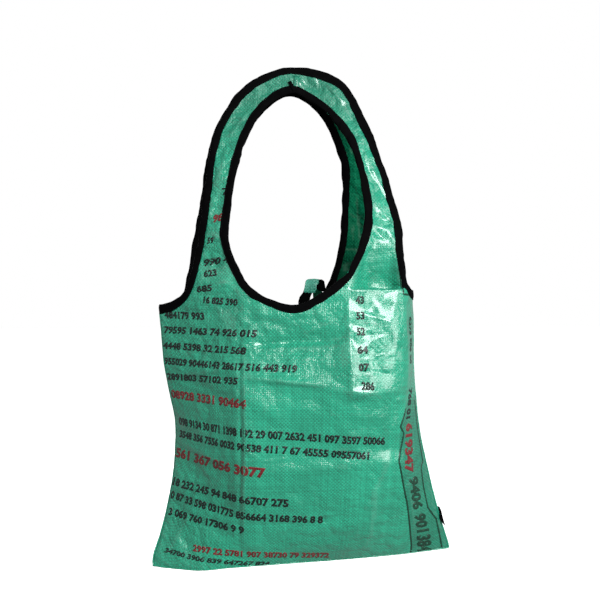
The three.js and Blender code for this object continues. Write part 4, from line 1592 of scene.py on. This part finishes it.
# %% Rows of numbers
ROWS = [
    ("black", [(-93, -141), (-84, -140)], 9.0, 0.0, (1,)),
    ("red", [(-105, -178), (-91, -175)], 10.0, 0.2, (2,)),
    ("black", [(-113, -206), (-104, -205)], 8.0, 0.2, (2,)),
    ("black", [(-117, -235), (-83, -230)], 9.0, 0.2, (3, 1)),
    ("black", [(-117, -249), (-100, -247)], 8.5, 0.0, (3,)),
    ("black", [(-126, -269), (-106, -267)], 8.5, 0.0, (3,)),
    ("black", [(-118, -283), (-74, -287)], 9.0, 0.2, (2, 3, 3)),
    ("black", [(-169, -303), (-116, -305)], 9.5, 0.0, (6, 3)),
    ("black", [(-170, -323), (-49, -327)], 9.5, 0.2, (5, 4, 2, 3, 3)),
    ("black", [(-171, -344), (-63, -349)], 9.5, 0.2, (4, 4, 2, 3, 3)),
    ("black", [(-169, -365), (-76, -369), (0, -371)], 9.5, 0.2, (6, 8, 5, 3, 3, 3)),
    ("black", [(-166, -386), (-74, -387)], 9.0, 0.1, (7, 5, 3)),
    ("red", [(-160, -411), (-64, -417)], 11.5, 0.1, (5, 4, 5)),
    ("black", [(-150, -447), (-77, -452), (115, -466)], 10.5, 0.0, (3, 4, 2, 3, 4, 3, 2, 3, 4, 3, 3, 4, 5)),
    ("black", [(-150, -464), (-77, -470), (94, -484)], 10.0, 0.1, (4, 3, 4, 4, 5, 3, 1, 2, 5, 8)),
    ("red", [(-156, -492), (-76, -502), (-39, -506)], 13.0, 0.0, (3, 3, 3, 4)),
    ("black", [(-160, -530), (-76, -540), (-9, -545)], 10.5, 0.0, (2, 3, 3, 2, 3, 5, 3)),
    ("black", [(-163, -548), (-76, -562), (37, -570)], 10.5, 0.0, (1, 2, 2, 3, 6, 6, 4, 3, 1, 1)),
    ("black", [(-165, -570), (-65, -583)], 10.0, 0.0, (1, 3, 3, 5, 1, 1)),
    ("red", [(-132, -612), (50, -625)], 8.5, 0.0, (4, 2, 4, 3, 5, 2, 6)),
    ("black", [(-170, -617), (-132, -623), (-30, -632)], 6.5, 0.2, (5, 4, 3, 6, 3)),
    ("black", [(75, -284), (86, -284)], 9.5, 0.0, (2,)),
    ("black", [(75, -304), (86, -304)], 9.5, 0.0, (2,)),
    ("black", [(75, -324), (86, -324)], 9.5, 0.0, (2,)),
    ("black", [(75, -347), (89, -347)], 9.5, 0.0, (2,)),
    ("black", [(76, -369), (90, -369)], 9.5, 0.0, (2,)),
    ("black", [(79, -392), (96, -393)], 10.0, 0.0, (3,)),
]
print(sum(sum(row[4]) for row in ROWS), "digits in", len(ROWS), "rows")

# %% [markdown]
# ## Setting the digits
# A roller prints the flat sack, so the print later bends with every fold. Seeded random digits
# fill each row and a font gives their outlines. Each point of an outline is moved along the
# cloth to its place on the baseline, and every row of one ink goes into one flat pattern.

# %% Set the numbers
NUMBER_SEED = 4
DIGIT_RISE = 1.1
DIGIT_WEIGHT = 0.05
INK_LIFT, INK_THICKNESS = 0.05, 0.08


def number_mesh(groups, rng, slant):
    """Seeded digits in groups, as a flat mesh that fills the unit square."""
    curve = bpy.data.curves.new("numbers", "FONT")
    curve.body = " ".join("".join(str(d) for d in rng.integers(0, 10, n)) for n in groups)
    curve.resolution_u = 2
    curve.offset = DIGIT_WEIGHT
    curve.shear = slant
    mesh = shown_mesh(add_object("carrier", curve))
    points = read_points(mesh)
    points -= points.min(0)
    points /= np.maximum(points.max(0), 1e-6)
    mesh.vertices.foreach_set("co", points.ravel())
    return mesh


def add_moved(pattern, mesh, move, longest):
    """Adds a flat mesh to a pattern with every point moved, its edges kept short."""
    bm = bmesh.new()
    bm.from_mesh(mesh)
    bmesh.ops.remove_doubles(bm, verts=bm.verts, dist=1e-5)
    for vert in bm.verts:
        vert.co = move(vert.co.x, vert.co.y)
    bmesh.ops.triangulate(bm, faces=bm.faces[:])
    shorten_edges(bm, longest)
    moved = mesh_from(bm, "moved")
    pattern.from_mesh(moved)
    bpy.data.meshes.remove(moved)


def row_move(flat, line, height):
    xs, zs = (np.array(column, float) for column in zip(*line))
    start, end = across_of(flat, *line[0]), across_of(flat, *line[-1])

    def move(share, rise):
        across = start + (end - start) * share
        x = flat.x_at(across, zs.mean() * MM) / MM
        z = float(np.interp(x, xs, zs)) + rise * height
        return Vector((flat.x_at(across, z * MM), 0, z * MM))

    return move


patterns = {ink: bmesh.new() for ink in INKS}
rng = np.random.default_rng(NUMBER_SEED)
for ink, line, height, slant, groups in ROWS:
    signs = number_mesh(groups, rng, slant)
    move = row_move(flats["front"], line, DIGIT_RISE * height)
    add_moved(patterns[ink], signs, move, PATCH_EDGE)
print({ink: len(pattern.verts) for ink, pattern in patterns.items()}, "points of print")

# %% [markdown]
# ## The side strip
# A band runs down the sack's side, between two thin dark lines that wander with the folds, with
# numbers that read downwards. At the right shoulder the corner of the same band shows again. The
# lines are ribbons, and the numbers are turned by a quarter and follow the left line.

# %% Side strip
LEFT_LINE = [(144, -420), (136, -443), (142, -452), (135, -488), (142, -515), (152, -551)]
LEFT_LINE += [(160, -585), (167, -615), (169, -632)]
RIGHT_LINE = [(163.5, -412), (165.5, -425), (167, -444), (176, -494), (173, -504), (178, -530)]
RIGHT_LINE += [(187, -561), (202, -580), (208, -600), (215, -624)]
CORNER_LINE = [(137, -232), (137, -245), (140, -271), (157.5, -272)]
LINE_HALF = 1.35
UPRIGHT_ROWS = [
    ("black", -300, -362, 150, 150, 12.0, (4, 3, 2)),
    ("black", -394, -434, 150, 145, 15.0, (3, 2)),
    ("red", -440, -506, 145, 143, 20.0, (6,)),
    ("green", -512, -560, 150, 161, 21.0, (4,)),
    ("green", -567, -596, 163, 172, 22.0, (3,)),
    ("green", -601, -629, 172, 178, 24.0, (3,)),
]
for line in (LEFT_LINE, RIGHT_LINE, CORNER_LINE):
    ribbon(patterns["green"], "front", line, LINE_HALF)


def upright_move(flat, top, bottom, x_top, x_bottom, height):
    def move(share, rise):
        z = top + (bottom - top) * share
        x = x_top + (x_bottom - x_top) * share
        across = across_of(flat, x, z) + rise * height * MM
        return Vector((flat.x_at(across, z * MM), 0, z * MM))

    return move


for ink, top, bottom, x_top, x_bottom, height, groups in UPRIGHT_ROWS:
    signs = number_mesh(groups, rng, 0.0)
    move = upright_move(flats["front"], top, bottom, x_top, x_bottom, height)
    add_moved(patterns[ink], signs, move, PATCH_EDGE)
for ink, pattern in patterns.items():
    piece = lay_on(ink + "_print", pattern, "front", INK_LIFT, INK_THICKNESS, ink_finishes[ink])
    ride(piece)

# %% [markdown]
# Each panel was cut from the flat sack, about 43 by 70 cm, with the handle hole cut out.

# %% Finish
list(laps["front"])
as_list(laps["back"])
